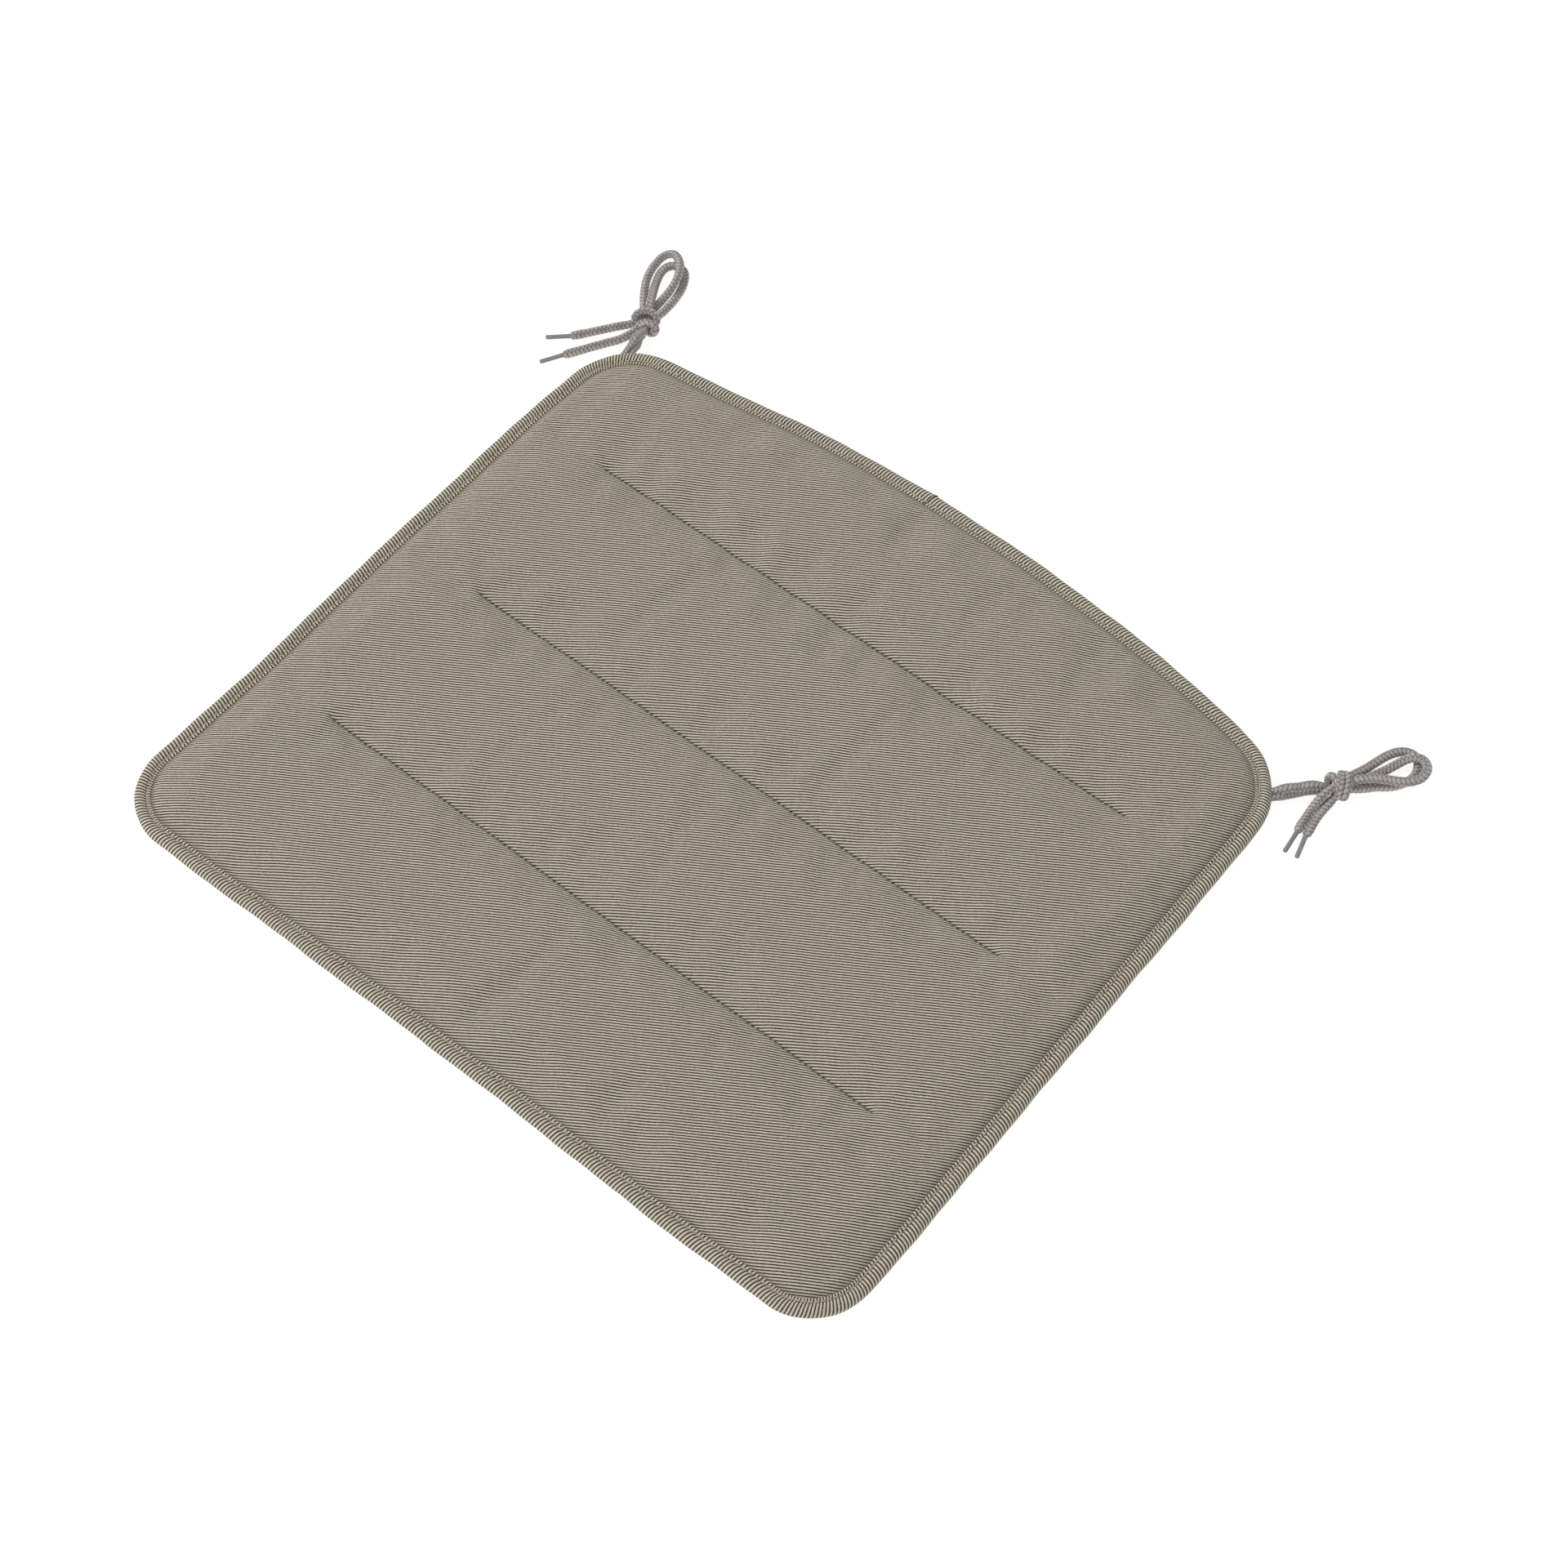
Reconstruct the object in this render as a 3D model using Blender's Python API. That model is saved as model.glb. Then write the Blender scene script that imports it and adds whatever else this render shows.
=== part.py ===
"""Chair seat pad: two twill panels over a thin foam sheet, bound round the edge and quilted in three rows,
with two braided cords tied in a bow at each rear corner. Metres, +Z up, +Y towards the tie cords.
The origin is the centre of the pad's outline, on the surface that it lies on."""

import math

import bmesh
import bpy
from mathutils import Matrix, Vector

# Outline, seen from above
PAD_WIDTH = 0.418
PAD_DEPTH = 0.3745
FRONT_CORNER_RADIUS = 0.032
REAR_CORNER_RADIUS = 0.039
BACK_BOW_RADIUS = 0.830
SIDE_TAPER = math.radians(0.30)
CORNER_STEPS = 8
BACK_STEPS = 12

# Layers, from the underside up
PAD_THICKNESS = 0.014
PANEL_THICKNESS = 0.0008
GAP = 0.0003

# From the binding to the field, a layer rises along this curve: how far in, and the share of the rise
SHOULDER = ((0.0018, 0.26), (0.0038, 0.66), (0.0063, 0.91), (0.0100, 1))

# Edge binding, folded round the squeezed layers at half height
BINDING_HEIGHT = 0.0070
BINDING_WIDTH = 0.0082
BINDING_CLOTH = 0.0008
BINDING_ROUND = 0.0026
BINDING_STITCH_INSET = 0.0060
BINDING_STITCH_DIP = 0.0004
BINDING_DIP_REACH = 0.0011
BINDING_ROUND_STEPS = 4
BINDING_JOIN_X = -0.022
BINDING_JOIN_GAP = 0.0004
THREAD_DIAMETER = 0.0006
THREAD_SIDES = 6

# Quilting rows: where each one lies along Y, and half its length
QUILT_ROWS = {"back": (0.0980, 0.157), "middle": (0.0045, 0.155), "front": (-0.0905, 0.160)}
QUILT_SLOT_WIDTH = 0.0016
QUILT_STITCH = 0.010

# Tie cords
CORD_DIAMETER = 0.0045
CORD_Z = 0.0023
CORD_STACK_Z = CORD_Z + CORD_DIAMETER + GAP
SEAM_Z = PAD_THICKNESS / 2
POCKET_HEIGHT = 0.0052
POCKET_WIDTH = 2 * CORD_DIAMETER + 4 * GAP
POCKET_DEPTH = 0.0082
CORD_POINT_SPACING = 1.4 * CORD_DIAMETER
ROUTE_STEP = 0.0006
AGLET_DIAMETER = 0.0023
AGLET_LENGTH = 0.0125

# Each cord's route: out of the seam to the knot, round the loop of the bow, and out to the aglet
LEFT_ROUTES = {
    "a": {
        "stem": [
            (-0.1945, 0.1551, SEAM_Z),
            (-0.1961, 0.1633, SEAM_Z),
            (-0.1972, 0.1690, 0.0081),
            (-0.1974, 0.1732, CORD_STACK_Z),
            (-0.1982, 0.1778, CORD_STACK_Z),
            (-0.2000, 0.1820, 0.0066),
        ],
        "loop": [
            (-0.2034, 0.1880, 0.0074),
            (-0.2062, 0.1925, 0.0072),
            (-0.2090, 0.1974, 0.0058),
            (-0.2123, 0.2026, 0.0036),
            (-0.2152, 0.2080, 0.0024),
            (-0.2172, 0.2133, CORD_Z),
            (-0.2175, 0.2178, CORD_Z),
            (-0.2158, 0.2212, CORD_Z),
            (-0.2122, 0.2226, CORD_Z),
            (-0.2078, 0.2214, CORD_Z),
            (-0.2042, 0.2168, CORD_Z),
            (-0.2018, 0.2108, CORD_Z),
            (-0.2005, 0.2042, CORD_Z),
            (-0.1998, 0.1980, CORD_Z),
            (-0.1994, 0.1922, 0.0024),
            (-0.1994, 0.1880, 0.0026),
        ],
        "tail": [
            (-0.2024, 0.1810, 0.0030),
            (-0.2030, 0.1768, CORD_Z),
            (-0.2038, 0.1730, CORD_Z),
            (-0.2056, 0.1680, CORD_Z),
            (-0.2092, 0.1622, CORD_Z),
            (-0.2130, 0.1560, CORD_Z),
            (-0.2170, 0.1493, CORD_Z),
            (-0.2208, 0.1430, CORD_Z),
        ],
        "tip": (-0.2270, 0.1323, CORD_Z),
    },
    "b": {
        "stem": [
            (-0.1896, 0.1560, SEAM_Z),
            (-0.1913, 0.1643, SEAM_Z),
            (-0.1934, 0.1702, 0.0042),
            (-0.1962, 0.1744, CORD_Z),
            (-0.1976, 0.1782, CORD_Z),
            (-0.1990, 0.1820, 0.0030),
        ],
        "loop": [
            (-0.2080, 0.1880, CORD_Z),
            (-0.2104, 0.1921, CORD_Z),
            (-0.2136, 0.1964, CORD_Z),
            (-0.2171, 0.2012, CORD_Z),
            (-0.2202, 0.2064, CORD_Z),
            (-0.2223, 0.2120, CORD_Z),
            (-0.2233, 0.2174, CORD_Z),
            (-0.2232, 0.2216, 0.0029),
            (-0.2212, 0.2244, 0.0044),
            (-0.2174, 0.2252, 0.0062),
            (-0.2126, 0.2230, CORD_STACK_Z),
            (-0.2086, 0.2188, CORD_STACK_Z),
            (-0.2058, 0.2130, 0.0068),
            (-0.2046, 0.2070, 0.0054),
            (-0.2048, 0.2010, 0.0036),
            (-0.2048, 0.1960, 0.0024),
            (-0.2042, 0.1912, CORD_Z),
            (-0.2036, 0.1870, CORD_Z),
        ],
        "tail": [
            (-0.2056, 0.1820, 0.0030),
            (-0.2080, 0.1786, CORD_Z),
            (-0.2112, 0.1745, CORD_Z),
            (-0.2150, 0.1693, CORD_Z),
            (-0.2192, 0.1634, CORD_Z),
            (-0.2230, 0.1582, CORD_Z),
            (-0.2260, 0.1543, CORD_Z),
        ],
        "tip": (-0.2357, 0.1453, CORD_Z),
    },
}
RIGHT_ROUTES = {
    "a": {
        "stem": [
            (0.1924, 0.1441, SEAM_Z),
            (0.1992, 0.1519, SEAM_Z),
            (0.2040, 0.1569, 0.0083),
            (0.2078, 0.1607, CORD_STACK_Z),
            (0.2118, 0.1654, CORD_STACK_Z),
            (0.2160, 0.1706, 0.0066),
        ],
        "loop": [
            (0.2200, 0.1788, 0.0030),
            (0.2208, 0.1826, CORD_Z),
            (0.2228, 0.1866, CORD_Z),
            (0.2250, 0.1916, CORD_Z),
            (0.2270, 0.1976, CORD_Z),
            (0.2290, 0.2036, CORD_Z),
            (0.2320, 0.2086, CORD_Z),
            (0.2360, 0.2112, CORD_Z),
            (0.2400, 0.2110, CORD_Z),
            (0.2430, 0.2080, CORD_Z),
            (0.2446, 0.2036, CORD_Z),
            (0.2442, 0.1986, CORD_Z),
            (0.2420, 0.1938, CORD_Z),
            (0.2386, 0.1897, CORD_Z),
            (0.2346, 0.1864, CORD_Z),
            (0.2318, 0.1824, CORD_Z),
            (0.2290, 0.1776, CORD_Z),
        ],
        "tail": [
            (0.2192, 0.1706, 0.0070),
            (0.2187, 0.1658, 0.0066),
            (0.2179, 0.1610, 0.0044),
            (0.2179, 0.1565, 0.0026),
            (0.2184, 0.1518, CORD_Z),
            (0.2193, 0.1450, CORD_Z),
        ],
        "tip": (0.2212, 0.1310, CORD_Z),
    },
    "b": {
        "stem": [
            (0.1960, 0.1407, SEAM_Z),
            (0.2032, 0.1484, SEAM_Z),
            (0.2065, 0.1543, 0.0043),
            (0.2076, 0.1590, CORD_Z),
            (0.2108, 0.1632, CORD_Z),
            (0.2154, 0.1680, CORD_Z),
        ],
        "loop": [
            (0.2248, 0.1794, 0.0024),
            (0.2268, 0.1836, CORD_Z),
            (0.2288, 0.1878, CORD_Z),
            (0.2311, 0.1928, CORD_Z),
            (0.2333, 0.1976, CORD_Z),
            (0.2352, 0.2020, 0.0030),
            (0.2376, 0.2058, 0.0050),
            (0.2412, 0.2084, 0.0069),
            (0.2455, 0.2086, 0.0073),
            (0.2486, 0.2056, 0.0073),
            (0.2490, 0.2006, 0.0072),
            (0.2466, 0.1960, 0.0072),
            (0.2420, 0.1923, 0.0072),
            (0.2368, 0.1894, 0.0072),
            (0.2314, 0.1860, 0.0072),
            (0.2268, 0.1822, 0.0074),
            (0.2230, 0.1780, 0.0070),
        ],
        "tail": [
            (0.2232, 0.1700, 0.0040),
            (0.2230, 0.1650, 0.0030),
            (0.2228, 0.1600, CORD_Z),
            (0.2229, 0.1560, CORD_Z),
            (0.2234, 0.1518, CORD_Z),
            (0.2244, 0.1450, CORD_Z),
        ],
        "tip": (0.2280, 0.1316, CORD_Z),
    },
}
# Each bow knot: its middle, its length, width and height, and the direction of its length
KNOTS = {
    "left": ((-0.2019, 0.1848, 0.0051), (0.0134, 0.0146, 0.0098), math.radians(105)),
    "right": ((0.2205, 0.1745, 0.0051), (0.0150, 0.0134, 0.0098), math.radians(52)),
}
KNOT_CLEARANCE = CORD_DIAMETER / 3
ROUTES = {"left": LEFT_ROUTES, "right": RIGHT_ROUTES}

# Colour and roughness of each material
COVER_LOOK = ((0.29, 0.26, 0.21), 0.9)
BINDING_LOOK = ((0.30, 0.27, 0.22), 0.9)
FOAM_LOOK = ((0.80, 0.78, 0.72), 0.95)
THREAD_LOOK = ((0.24, 0.21, 0.17), 0.8)
CORD_LOOK = ((0.27, 0.25, 0.24), 0.85)
AGLET_LOOK = ((0.25, 0.245, 0.245), 0.45)


def clear_scene():
    for obj in list(bpy.data.objects):
        bpy.data.objects.remove(obj)


def material(name, look):
    colour, roughness = look
    mat = bpy.data.materials.new(name)
    mat.use_nodes = True
    shader = mat.node_tree.nodes["Principled BSDF"]
    shader.inputs["Base Color"].default_value = (*colour, 1)
    shader.inputs["Roughness"].default_value = roughness
    shader.inputs["Metallic"].default_value = 0
    return mat


def add(name, data, mat):
    obj = bpy.data.objects.new(name, data)
    data.materials.append(mat)
    bpy.context.scene.collection.objects.link(obj)
    return obj


def mesh_from(bm, name):
    bmesh.ops.recalc_face_normals(bm, faces=bm.faces)
    mesh = bpy.data.meshes.new(name)
    bm.to_mesh(mesh)
    bm.free()
    return mesh


def outline_arcs():
    """The arcs of the outline, anticlockwise from the front right corner: centre, radius, first and last
    direction of the outward normal. The straight sides join their ends."""
    rf = FRONT_CORNER_RADIUS
    rr = REAR_CORNER_RADIUS
    front = Vector((PAD_WIDTH / 2 - rf, -PAD_DEPTH / 2 + rf))
    side_normal = Vector((math.cos(SIDE_TAPER), math.sin(SIDE_TAPER)))
    side_offset = side_normal.dot(front) + rf
    bow = Vector((0, PAD_DEPTH / 2 - BACK_BOW_RADIUS))
    reach = side_offset - rr - side_normal.dot(bow)
    turn = SIDE_TAPER + math.acos(reach / (BACK_BOW_RADIUS - rr))
    rear = bow + (BACK_BOW_RADIUS - rr) * Vector((math.cos(turn), math.sin(turn)))
    mirror = Vector((-1, 1))
    half = math.pi
    return [
        (front, rf, -half / 2, SIDE_TAPER, CORNER_STEPS),
        (rear, rr, SIDE_TAPER, turn, CORNER_STEPS),
        (bow, BACK_BOW_RADIUS, turn, half - turn, BACK_STEPS),
        (rear * mirror, rr, half - turn, half - SIDE_TAPER, CORNER_STEPS),
        (front * mirror, rf, half - SIDE_TAPER, half * 1.5, CORNER_STEPS),
    ]


def outline_stations():
    """Points of the outline with their outward normals, anticlockwise."""
    stations = []
    for centre, radius, first, last, steps in outline_arcs():
        for i in range(steps + 1):
            angle = first + (last - first) * i / steps
            normal = Vector((math.cos(angle), math.sin(angle)))
            point = centre + radius * normal
            if not stations or (point - stations[-1][0]).length > GAP:
                stations.append((point, normal))
    return stations


def stations_from_join():
    """The same outline, opened at the binding's join, with a station on each side of the slit."""
    stations = outline_stations()
    bow, radius = outline_arcs()[2][:2]
    ends = []
    for x in (BINDING_JOIN_X - BINDING_JOIN_GAP / 2, BINDING_JOIN_X + BINDING_JOIN_GAP / 2):
        angle = math.acos(x / radius)
        normal = Vector((math.cos(angle), math.sin(angle)))
        ends.append((bow + radius * normal, normal))
    behind = [s for s in stations if s[0].y > 0 and abs(s[0].x) < PAD_WIDTH / 4]
    after = next(s for s in behind if s[0].x < BINDING_JOIN_X - PANEL_THICKNESS)
    start = stations.index(after)
    return [ends[0]] + stations[start:] + stations[:start] + [ends[1]]


def sweep(name, stations, section, closed):
    """Sweeps a closed section of (inset, height) points round the outline. An open sweep gets flat ends."""
    bm = bmesh.new()
    rings = []
    for point, normal in stations:
        ring = []
        for inset, z in section:
            place = point - inset * normal
            ring.append(bm.verts.new((place.x, place.y, z)))
        rings.append(ring)
    pairs = list(zip(rings, rings[1:]))
    if closed:
        pairs.append((rings[-1], rings[0]))
    size = len(section)
    for ring, following in pairs:
        for i in range(size):
            j = (i + 1) % size
            bm.faces.new((ring[i], following[i], following[j], ring[j]))
    if not closed:
        bm.faces.new(rings[0])
        bm.faces.new(list(reversed(rings[-1])))
    return mesh_from(bm, name)


def plate(name, profile):
    """A plate with the pad's outline: its profile runs in over the top from the edge, and then from the
    middle of the underside out to the edge again. Both fields are flat."""
    stations = outline_stations()
    bm = bmesh.new()
    rings = []
    for inset, z in profile:
        ring = []
        for point, normal in stations:
            place = point - inset * normal
            ring.append(bm.verts.new((place.x, place.y, z)))
        rings.append(ring)
    size = len(stations)
    half = len(profile) // 2
    for k in range(len(rings)):
        if k == half - 1:
            continue
        ring = rings[k]
        following = rings[(k + 1) % len(rings)]
        for i in range(size):
            j = (i + 1) % size
            bm.faces.new((ring[i], ring[j], following[j], following[i]))
    bm.faces.new(rings[half - 1])
    bm.faces.new(list(reversed(rings[half])))
    return mesh_from(bm, name)


def shoulder(edge_inset, seam_z, field_z, shift):
    """The curve from the seam allowance up to the field, as (inset, height) from the edge inwards."""
    rise = field_z - seam_z
    inner = BINDING_WIDTH + GAP + shift
    curve = [(edge_inset, seam_z), (inner, seam_z)]
    for distance, share in SHOULDER:
        curve.append((inner + distance, seam_z + share * rise))
    return curve


def flipped(profile):
    """The same curve on the other side of the pad's middle plane."""
    return [(inset, PAD_THICKNESS - z) for inset, z in profile]


def panel_seam_top():
    return SEAM_Z + BINDING_HEIGHT / 2 - BINDING_CLOTH - GAP


def panel_curves():
    """The outer and inner surface of the top panel."""
    edge = BINDING_ROUND + GAP
    seam = panel_seam_top()
    outer = shoulder(edge, seam, PAD_THICKNESS, 0)
    inner = shoulder(edge, seam - PANEL_THICKNESS, PAD_THICKNESS - PANEL_THICKNESS, PANEL_THICKNESS / 3)
    return outer, inner


def add_slots(obj):
    """Cuts the three quilting rows through a layer, as narrow slots that the threads lie in."""
    for name, (y, half_length) in QUILT_ROWS.items():
        bm = bmesh.new()
        bmesh.ops.create_cube(bm, size=1)
        size = (2 * half_length, QUILT_SLOT_WIDTH, 2 * PAD_THICKNESS)
        bmesh.ops.scale(bm, vec=size, verts=bm.verts)
        bmesh.ops.translate(bm, vec=(0, y, SEAM_Z), verts=bm.verts)
        cut(obj, mesh_from(bm, f"slot_{name}"))


def pocket_place(side):
    """Where a pair of cords enters the seam: a point of the seam's edge and the way out of it."""
    a = ROUTES[side]["a"]["stem"]
    b = ROUTES[side]["b"]["stem"]
    inside = (Vector(a[0]) + Vector(b[0])) / 2
    outside = (Vector(a[1]) + Vector(b[1])) / 2
    way = outside - inside
    way.z = 0
    return inside, way.normalized()


def add_pockets(obj):
    """Cuts the openings that the cords' ends go into, through the edge at both rear corners."""
    for side in ROUTES:
        inside, way = pocket_place(side)
        length = 2 * POCKET_DEPTH
        bm = bmesh.new()
        bmesh.ops.create_cube(bm, size=1)
        bmesh.ops.scale(bm, vec=(length, POCKET_WIDTH, POCKET_HEIGHT), verts=bm.verts)
        bmesh.ops.translate(bm, vec=(length / 2 - GAP, 0, 0), verts=bm.verts)
        turn = Matrix.Rotation(math.atan2(way.y, way.x), 4, "Z")
        bmesh.ops.transform(bm, matrix=turn, verts=bm.verts)
        bmesh.ops.translate(bm, vec=(inside.x, inside.y, SEAM_Z), verts=bm.verts)
        cut(obj, mesh_from(bm, f"pocket_{side}"))


def cut(obj, mesh):
    cutter = bpy.data.objects.new(f"{obj.name}_{mesh.name}", mesh)
    bpy.context.scene.collection.objects.link(cutter)
    cutter.hide_render = True
    cutter.display_type = "WIRE"
    modifier = obj.modifiers.new(mesh.name, "BOOLEAN")
    modifier.operation = "DIFFERENCE"
    modifier.solver = "EXACT"
    modifier.object = cutter


def make_panels(cloth):
    outer, inner = panel_curves()
    top = add("top_cover_panel", plate("top_cover_panel", outer + inner[::-1]), cloth)
    low_outer = flipped(outer)
    low_inner = flipped(inner)
    mesh = plate("bottom_cover_panel", low_inner + low_outer[::-1])
    bottom = add("bottom_cover_panel", mesh, cloth)
    for panel in (top, bottom):
        add_slots(panel)
        add_pockets(panel)


def make_foam(foam):
    edge = BINDING_ROUND + 2 * GAP
    seam = panel_seam_top() - PANEL_THICKNESS - GAP
    field = PAD_THICKNESS - PANEL_THICKNESS - GAP
    curve = shoulder(edge, seam, field, PANEL_THICKNESS)
    pad = add("foam_pad", plate("foam_pad", curve + flipped(curve)[::-1]), foam)
    add_slots(pad)
    add_pockets(pad)


def binding_section():
    """The folded strip as (inset, height): out over the upper leg, round the edge and back below, then the
    inner face. Both legs dip a little at the stitch line."""
    low = SEAM_Z - BINDING_HEIGHT / 2
    high = SEAM_Z + BINDING_HEIGHT / 2
    half = BINDING_HEIGHT / 2
    seam = BINDING_STITCH_INSET
    dip = BINDING_STITCH_DIP
    reach = BINDING_DIP_REACH
    outer = [(BINDING_WIDTH, high), (seam + reach, high), (seam, high - dip), (seam - reach, high)]
    for i in range(BINDING_ROUND_STEPS + 1):
        angle = math.pi / 2 - math.pi * i / BINDING_ROUND_STEPS
        bulge = BINDING_ROUND * (1 - math.cos(angle))
        outer.append((bulge, SEAM_Z + half * math.sin(angle)))
    outer += [(inset, low + high - z) for inset, z in reversed(outer[:4])]
    wall = BINDING_CLOTH
    inner = []
    for inset, z in ((BINDING_WIDTH, low + wall), (BINDING_ROUND, low + wall), (wall, SEAM_Z - half / 2)):
        inner.append((inset, z))
    inner += [(inset, low + high - z) for inset, z in reversed(inner)]
    return outer + inner


def make_binding(cloth):
    mesh = sweep("edge_binding", stations_from_join(), binding_section(), closed=False)
    add_pockets(add("edge_binding", mesh, cloth))


def round_section(inset, z, radius, sides):
    points = []
    for i in range(sides):
        angle = 2 * math.pi * i / sides
        points.append((inset + radius * math.cos(angle), z + radius * math.sin(angle)))
    return points


def make_binding_threads(thread):
    """The two threads of the seam, each lying in the dip along its leg of the binding."""
    radius = THREAD_DIAMETER / 2
    height = BINDING_HEIGHT / 2 - BINDING_STITCH_DIP + GAP + radius
    for name, z in (("top", SEAM_Z + height), ("bottom", SEAM_Z - height)):
        section = round_section(BINDING_STITCH_INSET, z, radius, THREAD_SIDES)
        label = f"binding_thread_{name}"
        add(label, sweep(label, outline_stations(), section, closed=True), thread)


def tube(name, points, radius, mat, resolution=2):
    curve = bpy.data.curves.new(name, "CURVE")
    curve.dimensions = "3D"
    curve.bevel_depth = radius
    curve.bevel_resolution = resolution
    curve.use_fill_caps = True
    spline = curve.splines.new("POLY")
    spline.points.add(len(points) - 1)
    for target, point in zip(spline.points, points):
        target.co = (*point, 1)
    return add(name, curve, mat)


def make_quilt_threads(thread):
    """Each row's thread, in stitches that lie in the slot by turns at the top and at the underside."""
    radius = THREAD_DIAMETER / 2
    top = PAD_THICKNESS - radius
    bottom = radius
    for name, (y, half_length) in QUILT_ROWS.items():
        count = int(2 * (half_length - QUILT_SLOT_WIDTH) / QUILT_STITCH)
        start = -count * QUILT_STITCH / 2
        points = []
        for i in range(count):
            z = top if i % 2 == 0 else bottom
            x = start + i * QUILT_STITCH
            points.append((x, y, z))
            points.append((x + QUILT_STITCH, y, z))
        tube(f"quilt_thread_{name}", square_off(points, THREAD_DIAMETER), radius, thread, 1)


def square_off(points, spread):
    """Moves the two points of each upright a little apart, so that the tube keeps its thickness there."""
    moved = []
    for i, point in enumerate(points):
        side = 1 if i % 2 == 0 else -1
        moved.append((point[0] + side * spread / 2, point[1], point[2]))
    return moved


def smooth(points, spacing):
    """Evenly spaced points on a smooth curve through the route's own points."""
    route = [Vector(p) for p in points]
    route = [2 * route[0] - route[1]] + route + [2 * route[-1] - route[-2]]
    dense = []
    steps = 24
    for p0, p1, p2, p3 in zip(route, route[1:], route[2:], route[3:]):
        for i in range(steps):
            t = i / steps
            bend = (2 * p0 - 5 * p1 + 4 * p2 - p3) * t * t
            twist = (3 * p1 - p0 - 3 * p2 + p3) * t * t * t
            dense.append((2 * p1 + (p2 - p0) * t + bend + twist) / 2)
    dense.append(route[-2])
    lengths = [0.0]
    for first, second in zip(dense, dense[1:]):
        lengths.append(lengths[-1] + (second - first).length)
    count = max(2, round(lengths[-1] / spacing))
    result = []
    k = 0
    for i in range(count + 1):
        target = lengths[-1] * i / count
        while k < len(lengths) - 2 and lengths[k + 1] < target:
            k += 1
        share = (target - lengths[k]) / (lengths[k + 1] - lengths[k])
        result.append(dense[k].lerp(dense[k + 1], share))
    return result


def outside_knot(points, side):
    """The points of a stretch that lie clear of the knot it runs into."""
    centre, size, turn = KNOTS[side]
    clear = []
    for point in points:
        offset = Matrix.Rotation(-turn, 3, "Z") @ (point - Vector(centre))
        reach = [offset[i] / (size[i] / 2 + KNOT_CLEARANCE) for i in range(3)]
        if Vector(reach).length > 1:
            clear.append(point)
    return clear


def make_cords(cord, tip):
    for side, routes in ROUTES.items():
        for strand, route in routes.items():
            for stretch in ("stem", "loop", "tail"):
                dense = outside_knot(smooth(route[stretch], ROUTE_STEP), side)
                points = smooth(dense[::2] + dense[-1:], CORD_POINT_SPACING)
                tube(f"{side}_cord_{strand}_{stretch}", points, CORD_DIAMETER / 2, cord)
            end = Vector(route["tail"][-1])
            way = (Vector(route["tip"]) - end).normalized()
            start = end + way * GAP
            points = [start, start + way * AGLET_LENGTH]
            tube(f"{side}_aglet_{strand}", points, AGLET_DIAMETER / 2, tip)


def make_knots(cord):
    """The outer shape of each bow knot, as one rounded lump."""
    for side, (centre, size, turn) in KNOTS.items():
        bm = bmesh.new()
        bmesh.ops.create_icosphere(bm, subdivisions=3, radius=0.5)
        bmesh.ops.scale(bm, vec=size, verts=bm.verts)
        bmesh.ops.transform(bm, matrix=Matrix.Rotation(turn, 4, "Z"), verts=bm.verts)
        bmesh.ops.translate(bm, vec=centre, verts=bm.verts)
        name = f"{side}_bow_knot"
        obj = add(name, mesh_from(bm, name), cord)
        obj.data.shade_smooth()


def main():
    clear_scene()
    cloth = material("cover_fabric", COVER_LOOK)
    strip = material("binding_fabric", BINDING_LOOK)
    foam = material("foam", FOAM_LOOK)
    thread = material("thread", THREAD_LOOK)
    cord = material("cord", CORD_LOOK)
    tip = material("aglet", AGLET_LOOK)
    make_panels(cloth)
    make_foam(foam)
    make_binding(strip)
    make_binding_threads(thread)
    make_quilt_threads(thread)
    make_cords(cord, tip)
    make_knots(cord)


main()
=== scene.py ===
"""The looks of the chair seat pad: a quilted twill cushion with a bound edge, and two cords tied in a bow
at each rear corner. Metres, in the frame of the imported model: +Z up, +Y towards the cords."""

import math

import bpy
import numpy as np
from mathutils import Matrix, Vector, noise
from mathutils.geometry import delaunay_2d_cdt


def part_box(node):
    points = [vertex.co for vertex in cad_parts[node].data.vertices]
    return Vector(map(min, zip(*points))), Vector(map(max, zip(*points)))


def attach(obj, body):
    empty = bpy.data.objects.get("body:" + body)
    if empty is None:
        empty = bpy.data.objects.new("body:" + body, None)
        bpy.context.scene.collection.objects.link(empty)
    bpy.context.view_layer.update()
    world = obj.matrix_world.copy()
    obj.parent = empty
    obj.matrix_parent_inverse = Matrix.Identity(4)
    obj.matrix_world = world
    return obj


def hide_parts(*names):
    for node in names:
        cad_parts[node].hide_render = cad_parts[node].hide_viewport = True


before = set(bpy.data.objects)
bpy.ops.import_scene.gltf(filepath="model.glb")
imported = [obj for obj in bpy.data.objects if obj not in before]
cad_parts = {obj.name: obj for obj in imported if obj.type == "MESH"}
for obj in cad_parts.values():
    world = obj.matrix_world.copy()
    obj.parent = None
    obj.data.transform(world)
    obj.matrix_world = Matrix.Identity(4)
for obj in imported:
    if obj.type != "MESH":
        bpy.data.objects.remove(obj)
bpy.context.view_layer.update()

# Camera: its direction from the pad, the place it looks at, and its distance from that place
CAMERA_AZIMUTH = math.radians(38.998)
CAMERA_ELEVATION = math.radians(58.349)
CAMERA_TARGET = Vector((0.02452, 0.01460, 0.0070))
CAMERA_DISTANCE = 1.4908
CAMERA_LENS = 75

# Light: the white world's strength, and each lamp's place, size and power
WORLD_STRENGTH = 0.475
LAMPS = {"key": ((-4.5, -1.5, 4.5), 2.5, 211), "fill": ((3.0, -4.0, 5.0), 4.0, 62)}
FLOOR_REACH = 6

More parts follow.
